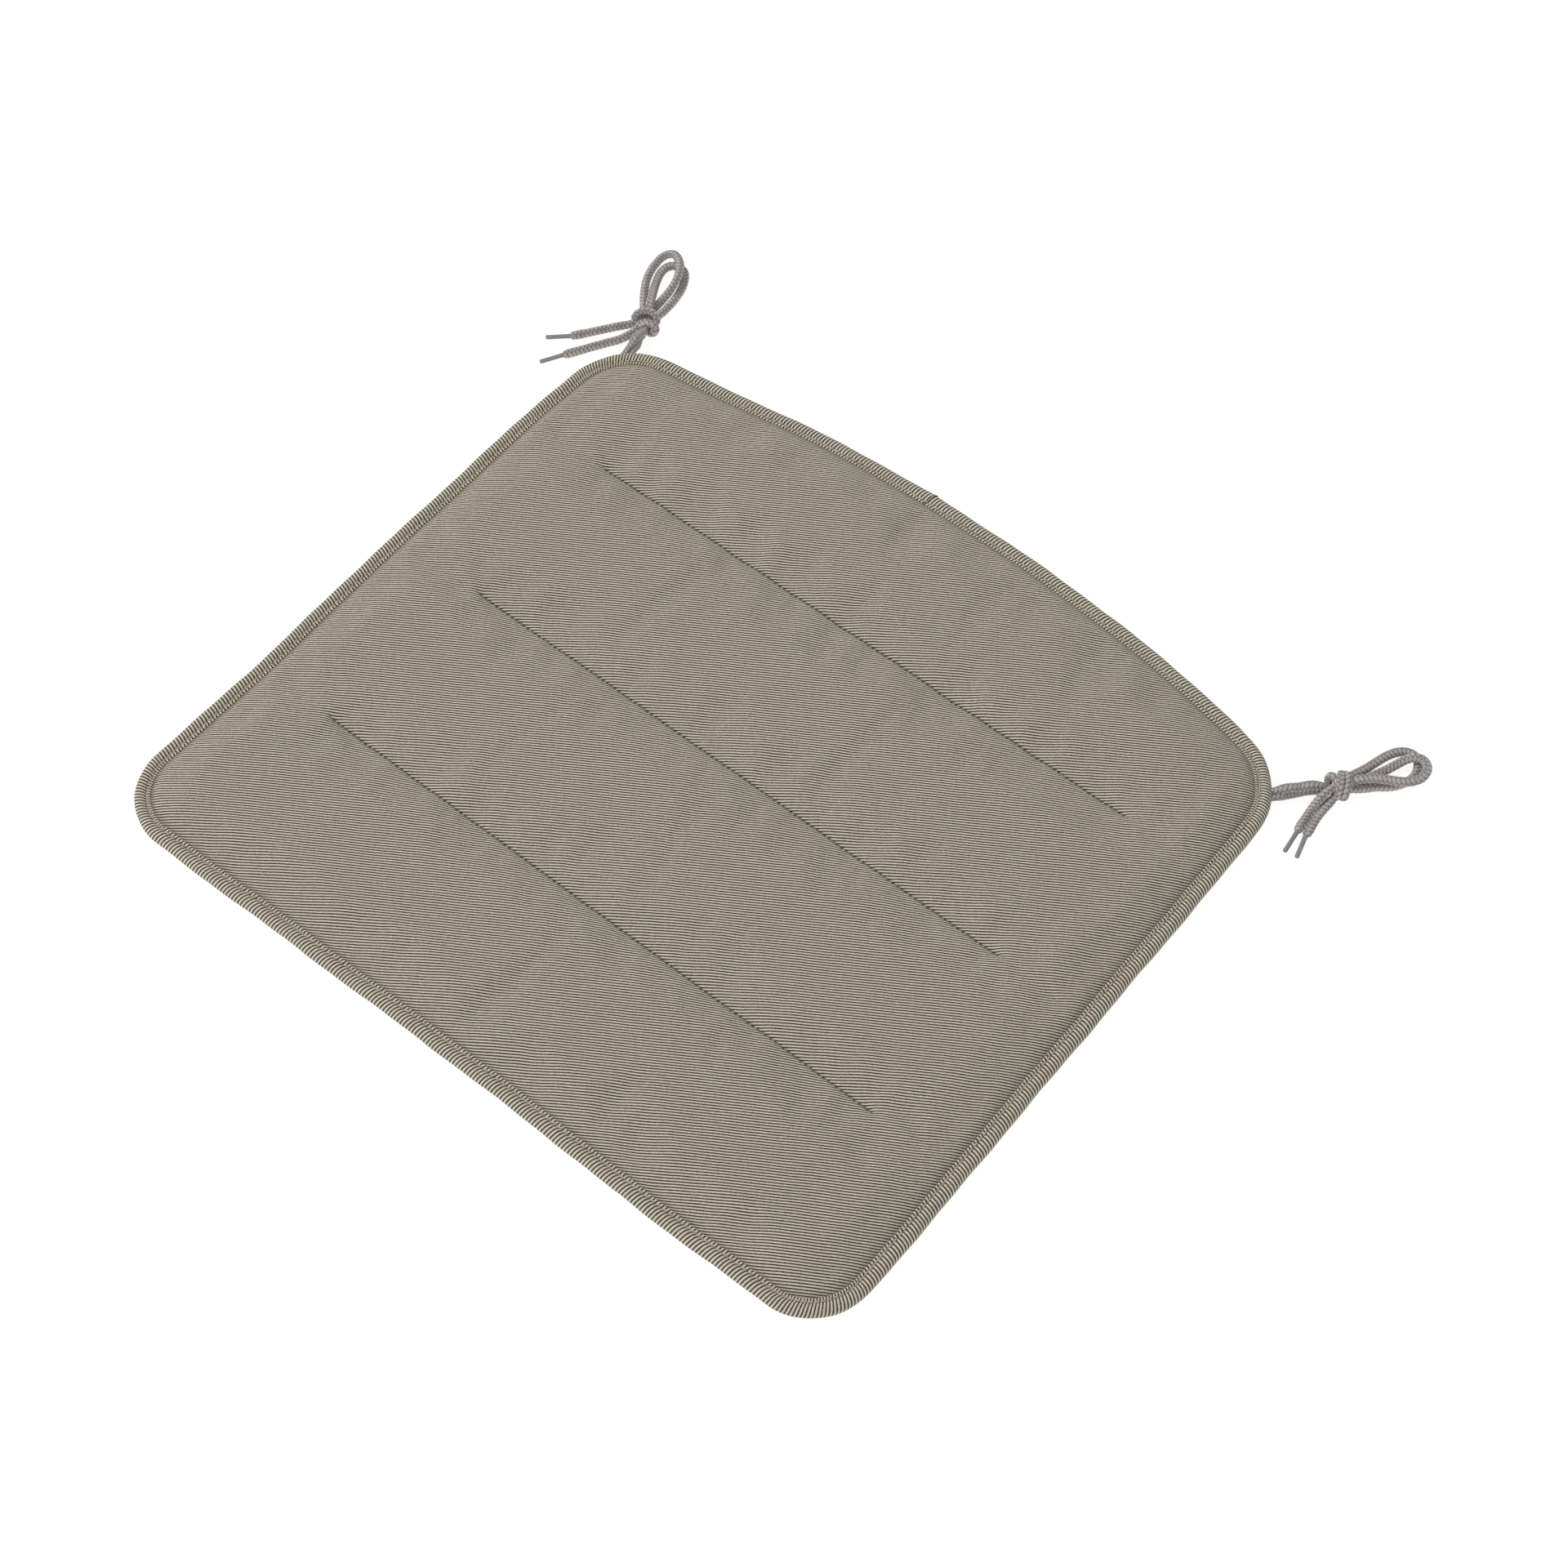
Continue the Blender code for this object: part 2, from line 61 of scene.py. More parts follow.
# Outline, seen from above; the width and the depth come from the frame
FRONT_CORNER_RADIUS = 0.032
REAR_CORNER_RADIUS = 0.039
BACK_BOW_RADIUS = 0.830
SIDE_TAPER = math.radians(0.30)

# Where the sewn edge is drawn in, or pushed out: the middle of the stretch, half its length, and how far
EDGE_PULLS = [
    ((0.00, -0.19), 0.110, -0.0007),
    ((0.12, -0.19), 0.080, 0.0009),
    ((-0.16, -0.19), 0.050, 0.0008),
    ((-0.21, -0.09), 0.080, -0.0013),
    ((-0.13, 0.18), 0.080, -0.0013),
    ((-0.176, 0.168), 0.032, 0.0012),
    ((-0.207, 0.136), 0.034, -0.0017),
    ((-0.01, 0.19), 0.090, -0.0006),
    ((0.13, 0.18), 0.050, 0.0005),
    ((0.20, 0.15), 0.050, -0.0010),
    ((0.21, -0.11), 0.060, 0.0003),
]

# Cushion: insets are in from the edge, and heights are over the pad's middle plane. The panels start inside
# the binding at the rim, leave it at the lip, rise steeply over the flank, then slowly over the shoulder.
PAD_THICKNESS = 0.014
MIDDLE_Z = PAD_THICKNESS / 2
RIM_INSET = 0.0050
RIM_HEIGHT = 0.0019
LIP_INSET = 0.0079
FLANK_WIDTH = 0.0045
FLANK_HEIGHT = 0.0042
FLANK_POWER = 0.6
FLANK_SLACK = 0.0006
SHOULDER_WIDTH = 0.024
FIELD_HEIGHT = 0.0058
LEAST_HEIGHT = 0.0003
TOP_PUFF = 0.0004
FLOOR_GAP = 0.0001

# Each quilting row: where it lies across the pad, and where it starts and ends
QUILT_ROWS = {
    "back": (0.0980, -0.1560, 0.1582),
    "middle": (0.0045, -0.1530, 0.1568),
    "front": (-0.0905, -0.1595, 0.1605),
}
ROW_DRIFT = 0.0011
ROW_HEIGHT = 0.0035
ROW_REACH = 0.006

# Cloth simulation: how far apart its points are, how long it runs, and how far it may move a point
CLOTH_MESH = 0.005
CLOTH_RINGS = (RIM_INSET, LIP_INSET, 0.0115)
CLOTH_FRAMES = 20
CLOTH_PRESSURE = 4.0
CLOTH_REACH = 0.005

# Finished panel: the spacing of its points, the insets of its rings, its extra lines beside each row, and how
# far off the rays start that read its height
PANEL_MESH = 0.0022
PANEL_RINGS = (RIM_INSET, 0.0066, 0.0077, 0.0084, 0.0092, 0.0102, 0.0114, 0.0129, 0.0147, 0.0168, 0.0192)
CREASE_OFFSETS = (0.0, 0.00016, 0.00035, 0.0006, 0.0010, 0.0016, 0.0025, 0.0038)
RAY_START = 0.05

# Quilting creases: a sharp crease in a soft valley, a pinch at each end, and the cloth that they take up
CREASE_DEPTH = 0.0011
CREASE_WIDTH = 0.00030
VALLEY_DEPTH = 0.0009
VALLEY_WIDTH = 0.0022
PINCH_DEPTH = 0.0011
PINCH_WIDTH = 0.0028
CREASE_TAKE_UP = 0.0005
TAKE_UP_WIDTH = 0.002
TAKE_UP_FADE = 0.03

# Painted shade: dark colour painted along the creases and in the groove beside the binding, where shade falls
CREASE_SHADE_WIDTH = 0.00042
GROOVE_SHADE_WIDTH = 0.0013
GROOVE_SHADE = 0.50

# Unevenness of the panels: small folds past the rows' ends, broad swells, and ripples, each with its height.
# The swells' and ripples' sizes are in waves per metre, across and along the pad.
FAN_FOLDS = 5
FAN_HEIGHT = 0.00030
FAN_START = 0.003
FAN_RADIUS = 0.014
FAN_WIDTH = 0.012
SWELL_HEIGHT = 0.00040
SWELL_WAVES = (24, 10)
RIPPLE_HEIGHT = 0.00085
RIPPLE_WAVES = (62, 9)
BACK_RIPPLES_Y = 0.09

# Binding: the upper half of its section, as distance in from the edge and height over the middle
BINDING_SECTION = [
    (0.00000, 0.00000),
    (0.00012, 0.00100),
    (0.00055, 0.00195),
    (0.00130, 0.00270),
    (0.00220, 0.00315),
    (0.00320, 0.00328),
    (0.00410, 0.00318),
    (0.00490, 0.00285),
    (0.00550, 0.00240),
    (0.00585, 0.00215),
    (0.00620, 0.00228),
    (0.00665, 0.00262),
    (0.00715, 0.00272),
    (0.00760, 0.00250),
    (0.00782, 0.00215),
    (0.00778, 0.00190),
]
BINDING_STEP = 0.0008
SECTION_STEP = 0.00032
# Its edge's wander, as (height, waves round the pad, phase), and its bulges before and after the join, as
# (height, length)
BINDING_WANDER = ((0.00018, 23, 1), (0.00010, 61, 0))
JOIN_BULGES = ((0.0007, 0.022), (0.0008, 0.006))
BINDING_JOIN_X = -0.022
JOIN_LAP = 0.00018
JOIN_LAP_LENGTH = 0.0015
JOIN_SLANT = 0.35
JOIN_SLANT_LENGTH = 0.008
SEAM_PINCH = 0.07
SEAM_PINCH_WIDTH = 0.0012
BINDING_STITCH_INSET = 0.0060
BINDING_STITCH_HEIGHT = 0.00238
STITCH_PITCH = 0.0033
STITCH_LENGTH = 0.0024
THREAD_DIAMETER = 0.0007

# Twill, in millimetres of cloth: the spacing of its ribs, their direction, and where a rib gives way to a
# dark line, as a share of the spacing. Then the same for the binding's stripes.
TWILL_PITCH = 1.30
TWILL_ANGLE = math.radians(32)
TWILL_LINE = 0.275
STRIPE_PITCH = 1.65
STRIPE_ANGLE = math.radians(-15)
STRIPE_LINE = 0.285
FLOAT_LENGTH = 0.8
STREAK_SCALE = 0.9
CREAM = (0.78, 0.71, 0.565, 1)
CREAM_PATCH = (0.735, 0.67, 0.53, 1)
CREAM_STREAK = (0.62, 0.56, 0.455, 1)
CREAM_YARN = (0.55, 0.50, 0.405, 1)
BROWN = (0.028, 0.021, 0.012, 1)
BROWN_YARN = (0.060, 0.048, 0.031, 1)
# Brown painted as shade in the creases and in the groove beside the binding
PAINTED_SHADE_BROWN = (0.075, 0.062, 0.044, 1)

# Tie cords: CORD_Z is the height of a cord lying on the floor, and CORD_STACK_Z of one lying on another. Each
# carrier's strand goes once round the cord in one lead. STRAND_TAPER is how steeply a strand's back rounds
# off, and STRAND_CROSSING how far the upper strand stands over the lower one.
CORD_DIAMETER = 0.0045
CORD_Z = 0.0023
CORD_STACK_Z = 0.0071
SEAM_Z = MIDDLE_Z
CORD_RING_SPACING = 0.00028
CORD_SIDES = 56
CORD_CARRIERS = 4
CORD_LEAD = 0.0084
CORD_RELIEF = 0.00044
STRAND_TAPER = 1.9
STRAND_CROSSING = 0.9
YARNS_PER_STRAND = 3
SEAM_SQUEEZE = 0.26
KNOT_SQUEEZE = 0.13
KNOT_RADIUS = 0.006
END_ROUNDING = 0.0022
END_SWELL = 0.07
AGLET_DIAMETER = 0.0023
AGLET_LENGTH = 0.0125
AGLET_SIDES = 20
YARN_LIGHT = (0.550, 0.506, 0.482, 1)
YARN_MEDIUM = (0.450, 0.416, 0.400, 1)
# Painted shade on the sides of the yarns
PAINTED_YARN_SIDE_SHADE = (0.215, 0.195, 0.185, 1)
# Painted highlight on the fluff
PAINTED_FLUFF_HIGHLIGHT = (0.72, 0.67, 0.64, 1)
# Painted shade in the gaps between the strands
PAINTED_GAP_SHADE = (0.055, 0.048, 0.044, 1)

# Each cord's route: out of the seam, through the knot, round the loop, back through the knot and out to the
# tip. The wrap and the core are in the knot's own frame: along the bow, across it, and height.
LEFT_KNOT = (Vector((-0.2019, 0.1848, 0)), math.radians(105))
RIGHT_KNOT = (Vector((0.2205, 0.1745, 0)), math.radians(52))
LEFT_ROUTES = {
    "a": {
        "stem": [
            (-0.1942, 0.1548, SEAM_Z), (-0.1955, 0.1638, 0.0074), (-0.1965, 0.1690, 0.0081),
            (-0.1974, 0.1732, CORD_STACK_Z),
        ],
        "wrap": [
            (-0.0082, 0.0022, 0.0056), (-0.0055, 0.0020, 0.0038), (-0.0026, -0.0006, 0.0030),
            (-0.0012, -0.0042, 0.0028), (-0.0010, -0.0060, 0.0042), (-0.0003, -0.0057, 0.0060),
            (0.0014, -0.0040, 0.0075), (0.0027, -0.0010, 0.0081), (0.0030, 0.0019, 0.0078),
            (0.0022, 0.0044, 0.0065), (0.0014, 0.0050, 0.0044), (0.0014, 0.0036, 0.0028),
            (0.0034, 0.0014, 0.0030), (0.0060, -0.0006, 0.0044),
        ],
        "loop": [
            (-0.2062, 0.1925, 0.0058), (-0.2090, 0.1974, 0.0056), (-0.2123, 0.2026, 0.0036),
            (-0.2152, 0.2080, 0.0024), (-0.2172, 0.2133, CORD_Z), (-0.2175, 0.2178, CORD_Z),
            (-0.2158, 0.2212, CORD_Z), (-0.2122, 0.2226, CORD_Z), (-0.2078, 0.2214, CORD_Z),
            (-0.2042, 0.2168, CORD_Z), (-0.2018, 0.2108, CORD_Z), (-0.2005, 0.2042, CORD_Z),
            (-0.2000, 0.1980, CORD_Z), (-0.1999, 0.1922, 0.0026),
        ],
        "core": [
            (0.0030, 0.0026, 0.0032), (-0.0005, 0.0000, 0.0036), (-0.0032, -0.0022, 0.0032),
        ],
        "tail": [
            (-0.2030, 0.1768, 0.0026), (-0.2038, 0.1730, CORD_Z), (-0.2056, 0.1680, CORD_Z),
            (-0.2092, 0.1622, CORD_Z), (-0.2130, 0.1560, CORD_Z), (-0.2170, 0.1493, CORD_Z),
            (-0.2208, 0.1430, CORD_Z),
        ],
        "tip": (-0.2270, 0.1323, CORD_Z),
    },
    "b": {
        "stem": [
            (-0.1908, 0.1553, SEAM_Z), (-0.1934, 0.1643, 0.0058), (-0.1959, 0.1701, 0.0034),
            (-0.1986, 0.1750, CORD_Z),
        ],
        "wrap": [
            (-0.0076, 0.0012, CORD_Z), (-0.0050, -0.0002, 0.0028), (-0.0042, -0.0002, 0.0046),
            (-0.0039, 0.0022, 0.0070), (-0.0037, 0.0050, 0.0073), (-0.0041, 0.0068, 0.0058),
            (-0.0052, 0.0066, 0.0040), (-0.0056, 0.0046, 0.0026), (-0.0034, 0.0024, CORD_Z),
            (0.0004, -0.0006, CORD_Z), (0.0042, -0.0036, CORD_Z),
        ],
        "loop": [
            (-0.2100, 0.1921, CORD_Z), (-0.2136, 0.1964, CORD_Z), (-0.2171, 0.2012, CORD_Z),
            (-0.2202, 0.2064, CORD_Z), (-0.2223, 0.2120, CORD_Z), (-0.2233, 0.2174, CORD_Z),
            (-0.2232, 0.2216, 0.0029), (-0.2212, 0.2244, 0.0044), (-0.2174, 0.2252, 0.0062),
            (-0.2126, 0.2230, CORD_STACK_Z), (-0.2086, 0.2188, CORD_STACK_Z), (-0.2058, 0.2130, 0.0068),
            (-0.2046, 0.2070, 0.0054), (-0.2048, 0.2010, 0.0034), (-0.2050, 0.1960, 0.0025),
            (-0.2047, 0.1910, 0.0027),
        ],
        "core": [
            (0.0032, -0.0020, 0.0032), (0.0002, -0.0036, 0.0032), (-0.0022, -0.0056, 0.0030),
        ],
        "tail": [
            (-0.2080, 0.1786, CORD_Z), (-0.2112, 0.1745, CORD_Z), (-0.2150, 0.1693, CORD_Z),
            (-0.2192, 0.1634, CORD_Z), (-0.2230, 0.1582, CORD_Z), (-0.2260, 0.1543, CORD_Z),
        ],
        "tip": (-0.2357, 0.1453, CORD_Z),
    },
}
RIGHT_ROUTES = {
    "a": {
        "stem": [
            (0.1924, 0.1441, SEAM_Z), (0.2002, 0.1516, 0.0074), (0.2045, 0.1566, 0.0082),
            (0.2078, 0.1607, CORD_STACK_Z), (0.2118, 0.1654, CORD_STACK_Z),
        ],
        "wrap": [
            (-0.0080, -0.0006, 0.0056), (-0.0044, 0.0004, 0.0034), (-0.0010, 0.0032, 0.0026),
            (0.0008, 0.0058, 0.0028), (0.0013, 0.0066, 0.0044), (0.0020, 0.0058, 0.0062),
            (0.0031, 0.0042, 0.0074), (0.0044, 0.0014, 0.0079), (0.0052, -0.0014, 0.0075),
            (0.0053, -0.0037, 0.0058), (0.0044, -0.0044, 0.0038), (0.0038, -0.0036, 0.0027),
        ],
        "loop": [
            (0.2214, 0.1820, CORD_Z), (0.2231, 0.1862, CORD_Z), (0.2252, 0.1914, CORD_Z),
            (0.2270, 0.1976, CORD_Z), (0.2290, 0.2036, CORD_Z), (0.2320, 0.2086, CORD_Z),
            (0.2360, 0.2112, CORD_Z), (0.2400, 0.2110, CORD_Z), (0.2430, 0.2080, CORD_Z),
            (0.2446, 0.2036, CORD_Z), (0.2442, 0.1986, CORD_Z), (0.2420, 0.1938, CORD_Z),
            (0.2386, 0.1897, CORD_Z), (0.2346, 0.1864, CORD_Z), (0.2310, 0.1826, CORD_Z),
        ],
        "core": [
            (0.0076, 0.0028, 0.0028), (0.0040, 0.0024, 0.0034), (0.0010, 0.0016, 0.0044),
            (-0.0012, 0.0018, 0.0056), (-0.0036, 0.0024, 0.0068),
        ],
        "tail": [
            (0.2191, 0.1655, 0.0064), (0.2185, 0.1608, 0.0042), (0.2184, 0.1562, 0.0026),
            (0.2188, 0.1514, CORD_Z), (0.2197, 0.1438, CORD_Z),
        ],
        "tip": (0.2214, 0.1300, CORD_Z),
    },
    "b": {
        "stem": [
            (0.1952, 0.1416, SEAM_Z), (0.2021, 0.1497, 0.0062), (0.2046, 0.1550, 0.0040),
            (0.2074, 0.1600, CORD_Z), (0.2106, 0.1642, CORD_Z),
        ],
        "wrap": [
            (-0.0082, -0.0008, CORD_Z), (-0.0054, -0.0012, CORD_Z), (-0.0034, -0.0024, 0.0026),
            (-0.0030, -0.0042, 0.0044), (-0.0022, -0.0043, 0.0066), (-0.0009, -0.0022, 0.0075),
            (0.0000, 0.0007, 0.0064), (0.0016, 0.0016, 0.0044), (0.0036, -0.0010, 0.0032),
            (0.0038, -0.0038, 0.0034), (0.0033, -0.0048, 0.0052), (0.0026, -0.0032, 0.0072),
            (0.0012, 0.0005, 0.0080), (-0.0004, 0.0036, 0.0074), (-0.0015, 0.0052, 0.0056),
            (-0.0014, 0.0054, 0.0036), (0.0006, 0.0034, 0.0026), (0.0040, 0.0008, 0.0026),
        ],
        "loop": [
            (0.2268, 0.1836, CORD_Z), (0.2288, 0.1878, CORD_Z), (0.2311, 0.1928, CORD_Z),
            (0.2333, 0.1976, CORD_Z), (0.2352, 0.2020, 0.0030), (0.2376, 0.2058, 0.0050),
            (0.2412, 0.2084, 0.0069), (0.2455, 0.2086, 0.0073), (0.2486, 0.2056, 0.0073),
            (0.2490, 0.2006, 0.0072), (0.2466, 0.1960, 0.0072), (0.2420, 0.1923, 0.0072),
            (0.2368, 0.1894, 0.0072), (0.2314, 0.1860, 0.0072), (0.2268, 0.1818, 0.0064),
        ],
        "core": [
            (0.0072, 0.0004, 0.0054), (0.0042, 0.0010, 0.0042), (0.0010, 0.0030, 0.0040),
            (-0.0012, 0.0044, 0.0040),
        ],
        "tail": [
            (0.2227, 0.1650, 0.0034), (0.2223, 0.1600, CORD_Z), (0.2224, 0.1560, CORD_Z),
            (0.2229, 0.1516, CORD_Z), (0.2240, 0.1444, CORD_Z),
        ],
        "tip": (0.2276, 0.1308, CORD_Z),
    },
}
BOWS = {"left": (LEFT_KNOT, LEFT_ROUTES), "right": (RIGHT_KNOT, RIGHT_ROUTES)}


def place_camera():
    """The camera, looking at the pad from the photo's angle."""
    data = bpy.data.cameras.new("camera")
    data.lens = CAMERA_LENS
    camera = bpy.data.objects.new("camera", data)
    flat = math.cos(CAMERA_ELEVATION)
    aside = math.sin(CAMERA_AZIMUTH) * flat
    forward = -math.cos(CAMERA_AZIMUTH) * flat
    camera.location = CAMERA_TARGET + CAMERA_DISTANCE * Vector((aside, forward, math.sin(CAMERA_ELEVATION)))
    camera.rotation_euler = (math.pi / 2 - CAMERA_ELEVATION, 0, CAMERA_AZIMUTH)
    bpy.context.scene.collection.objects.link(camera)
    bpy.context.scene.camera = camera


def add_area_light(name, place, size, power):
    """A round lamp that points at the pad."""
    data = bpy.data.lights.new(name, "AREA")
    data.shape = "DISK"
    data.size = size
    data.energy = power
    light = bpy.data.objects.new(name, data)
    light.location = place
    light.rotation_euler = (-Vector(place)).to_track_quat("-Z", "Y").to_euler()
    bpy.context.scene.collection.objects.link(light)


def light_the_studio():
    """A white world, a key lamp from the left and a weaker one from the front right."""
    world = bpy.data.worlds.new("studio")
    world.use_nodes = True
    background = world.node_tree.nodes["Background"]
    background.inputs["Color"].default_value = (1, 1, 1, 1)
    background.inputs["Strength"].default_value = WORLD_STRENGTH
    bpy.context.scene.world = world
    for name, (place, size, power) in LAMPS.items():
        add_area_light(name, place, size, power)
    bpy.context.scene.view_settings.view_transform = "Standard"


class Shading:
    """A material whose nodes are added one at a time; each call gives back the new node's output."""

    def __init__(self, name):
        self.material = bpy.data.materials.new(name)
        self.material.use_nodes = True
        self.tree = self.material.node_tree
        self.shader = self.tree.nodes["Principled BSDF"]

    def connect(self, socket, value):
        if isinstance(value, bpy.types.NodeSocket):
            self.tree.links.new(value, socket)
        else:
            socket.default_value = value

    def node(self, kind, inputs, output=0, **settings):
        made = self.tree.nodes.new(kind)
        for name, value in settings.items():
            setattr(made, name, value)
        for name, value in inputs.items():
            self.connect(made.inputs[name], value)
        return made.outputs[output]

    def math(self, operation, first, second=0.0, third=0.0):
        inputs = {0: first, 1: second, 2: third}
        return self.node("ShaderNodeMath", inputs, operation=operation)

    def noise(self, scale, detail=2.0, vector=None):
        inputs = {"Scale": scale, "Detail": detail}
        inputs["Vector"] = vector or self.node("ShaderNodeTexCoord", {}, "Object")
        return self.node("ShaderNodeTexNoise", inputs)

    def ramp(self, value, low, high, start=0.0, end=1.0):
        """Value from low..high taken smoothly to start..end."""
        inputs = {"Value": value, "From Min": low, "From Max": high, "To Min": start, "To Max": end}
        return self.node("ShaderNodeMapRange", inputs, interpolation_type="SMOOTHSTEP")

    def mix(self, share, first, second):
        inputs = {"Factor": share, 6: first, 7: second}
        return self.node("ShaderNodeMix", inputs, 2, data_type="RGBA")

    def bump(self, height, distance, strength=1.0):
        inputs = {"Height": height, "Distance": distance, "Strength": strength}
        return self.node("ShaderNodeBump", inputs)

    def finish(self, **inputs):
        for name, value in inputs.items():
            self.connect(self.shader.inputs[name.replace("_", " ")], value)
        return self.material


def floor_material():
    """Pale matt paper that glows a little, so that it comes out nearly white."""
    shading = Shading("floor")
    level = shading.ramp(shading.noise(3.0), 0.3, 0.7, 0.50, 0.52)
    colour = shading.node("ShaderNodeCombineColor", {0: level, 1: level, 2: level})
    return shading.finish(
        Base_Color=colour, Roughness=0.9, Emission_Color=(1, 1, 1, 1), Emission_Strength=0.75
    )


def cord_material():
    """Soft braided yarn: lilac grey, with painted shade between the strands and on the yarns' sides,
    painted highlights on the fluff, and yarns lying along each strand.
    """
    shading = Shading("cord_yarn")
    depth = shading.node("ShaderNodeAttribute", {}, "Fac", attribute_name="depth")
    lay = shading.node("ShaderNodeAttribute", {}, "Fac", attribute_name="lay")
    patch = shading.ramp(shading.noise(220.0), 0.3, 0.7)
    fibre = shading.noise(3600.0, 3.0)
    fluff = shading.noise(900.0, 3.0)
    yarn = shading.math("SINE", shading.math("MULTIPLY_ADD", fluff, 3.0, lay))
    light = shading.mix(patch, YARN_MEDIUM, YARN_LIGHT)
    # Painted shade on the sides of the yarns
    light = shading.mix(shading.ramp(yarn, -0.9, 0.4, 0.45, 0.0), light, PAINTED_YARN_SIDE_SHADE)
    # Painted highlight where the fluff catches the light
    light = shading.mix(shading.ramp(fluff, 0.50, 0.75, 0.0, 0.45), light, PAINTED_FLUFF_HIGHLIGHT)
    # Painted shade: the colour darkens towards the gaps between the strands
    shade = shading.ramp(shading.math("ADD", depth, shading.math("MULTIPLY", fibre, 0.35)), 0.22, 0.98)
    colour = shading.mix(shade, light, PAINTED_GAP_SHADE)
    relief = shading.math("MULTIPLY_ADD", yarn, 0.35, fibre)
    return shading.finish(
        Base_Color=colour,
        Roughness=0.92,
        Sheen_Weight=0.25,
        Sheen_Roughness=0.5,
        Normal=shading.bump(relief, 0.00014, 0.7),
    )


def aglet_material():
    """Satin grey plastic, slightly scuffed."""
    shading = Shading("aglet_plastic")
    scuff = shading.noise(900.0, 4.0)
    dull = (0.245, 0.238, 0.240, 1)
    bright = (0.285, 0.278, 0.278, 1)
    colour = shading.mix(shading.ramp(scuff, 0.35, 0.65), dull, bright)
    roughness = shading.ramp(scuff, 0.3, 0.7, 0.38, 0.55)
    return shading.finish(Base_Color=colour, Roughness=roughness, Normal=shading.bump(scuff, 0.00003, 0.4))


def new_piece(name, points, faces, material):
    """A smooth-shaded mesh object, added to the scene."""
    mesh = bpy.data.meshes.new(name)
    mesh.from_pydata([tuple(p) for p in points], [], faces)
    if material:
        mesh.materials.append(material)
    piece = bpy.data.objects.new(name, mesh)
    bpy.context.scene.collection.objects.link(piece)
    mesh.polygons.foreach_set("use_smooth", [True] * len(mesh.polygons))
    mesh.update()
    return piece


def set_attribute(piece, name, values):
    """Stores one number for every vertex, for the materials to read."""
    attribute = piece.data.attributes.new(name, "FLOAT", "POINT")
    attribute.data.foreach_set("value", np.asarray(values, np.float32).ravel())


def tube_faces(rings, sides, first=0):
    """Quads between rings of vertices, with a fan of triangles closing each end at an extra vertex."""
    faces = []
    for i in range(rings - 1):
        here = first + i * sides
        for j in range(sides):
            k = (j + 1) % sides
            faces.append((here + j, here + k, here + sides + k, here + sides + j))
    start = first + rings * sides
    last = first + (rings - 1) * sides
    for j in range(sides):
        k = (j + 1) % sides
        faces.append((start, first + k, first + j))
        faces.append((start + 1, last + j, last + k))
    return faces


def smooth_route(points, spacing):
    """Evenly spaced points on a smooth curve through the route's own points."""
    route = np.array(points, float)
    route = np.vstack([2 * route[0] - route[1], route, 2 * route[-1] - route[-2]])
    t = np.linspace(0, 1, 60, endpoint=False)[:, None]
    pieces = []
    for p0, p1, p2, p3 in zip(route, route[1:], route[2:], route[3:]):
        bend = (2 * p0 - 5 * p1 + 4 * p2 - p3) * t**2
        twist = (3 * p1 - p0 - 3 * p2 + p3) * t**3
        pieces.append((2 * p1 + (p2 - p0) * t + bend + twist) / 2)
    dense = np.vstack(pieces + [route[-2:-1]])
    along = np.append(0, np.cumsum(np.linalg.norm(np.diff(dense, axis=0), axis=1)))
    steps = np.linspace(0, along[-1], max(2, round(along[-1] / spacing)) + 1)
    return np.stack([np.interp(steps, along, dense[:, k]) for k in range(3)], axis=1), steps


def frames_along(path):
    """Two directions across the path at each of its points, carried along it without twisting."""
    tangents = np.gradient(path, axis=0)
    tangents /= np.linalg.norm(tangents, axis=1)[:, None]
    side = np.cross(tangents[0], (0, 0, 1))
    side /= np.linalg.norm(side)
    sides = []
    for tangent in tangents:
        side = side - tangent * side.dot(tangent)
        side /= np.linalg.norm(side)
        sides.append(side)
    sides = np.array(sides)
    return sides, np.cross(tangents, sides)


def braid(along, angle):
    """A two-over-two braid: its height from 0 in the gaps to 1 on a strand's back, and the turn across the
    yarns that lie side by side in the upper strand."""
    turn = 2 * np.pi * along / CORD_LEAD
    right = (angle - turn) * CORD_CARRIERS / (2 * np.pi)
    left = (angle + turn) * CORD_CARRIERS / (2 * np.pi)
    i = np.round(right)
    j = np.round(left)
    over_right = np.cos(np.pi / 2 * (left + i - 0.5))
    over_left = -np.cos(np.pi / 2 * (right + j - 0.5))
    back_right = np.sqrt(np.clip(1 - (STRAND_TAPER * (right - i)) ** 2, 0, 1))
    back_left = np.sqrt(np.clip(1 - (STRAND_TAPER * (left - j)) ** 2, 0, 1))
    upper_right = back_right + STRAND_CROSSING * over_right
    upper_left = back_left + STRAND_CROSSING * over_left
    yarns = np.where(upper_right > upper_left, right - i, left - j) * 2 * np.pi * YARNS_PER_STRAND
    return np.clip(np.maximum(upper_right, upper_left) / (1 + STRAND_CROSSING), 0, 1), yarns


def route_points(knot, route):
    """The whole route in the frame of the pad."""
    centre, turn = knot
    along = Vector((math.cos(turn), math.sin(turn), 0))
    across = Vector((math.sin(turn), -math.cos(turn), 0))

    def placed(points):
        return [tuple(centre + along * u + across * v + Vector((0, 0, z))) for u, v, z in points]

    return route["stem"] + placed(route["wrap"]) + route["loop"] + placed(route["core"]) + route["tail"]


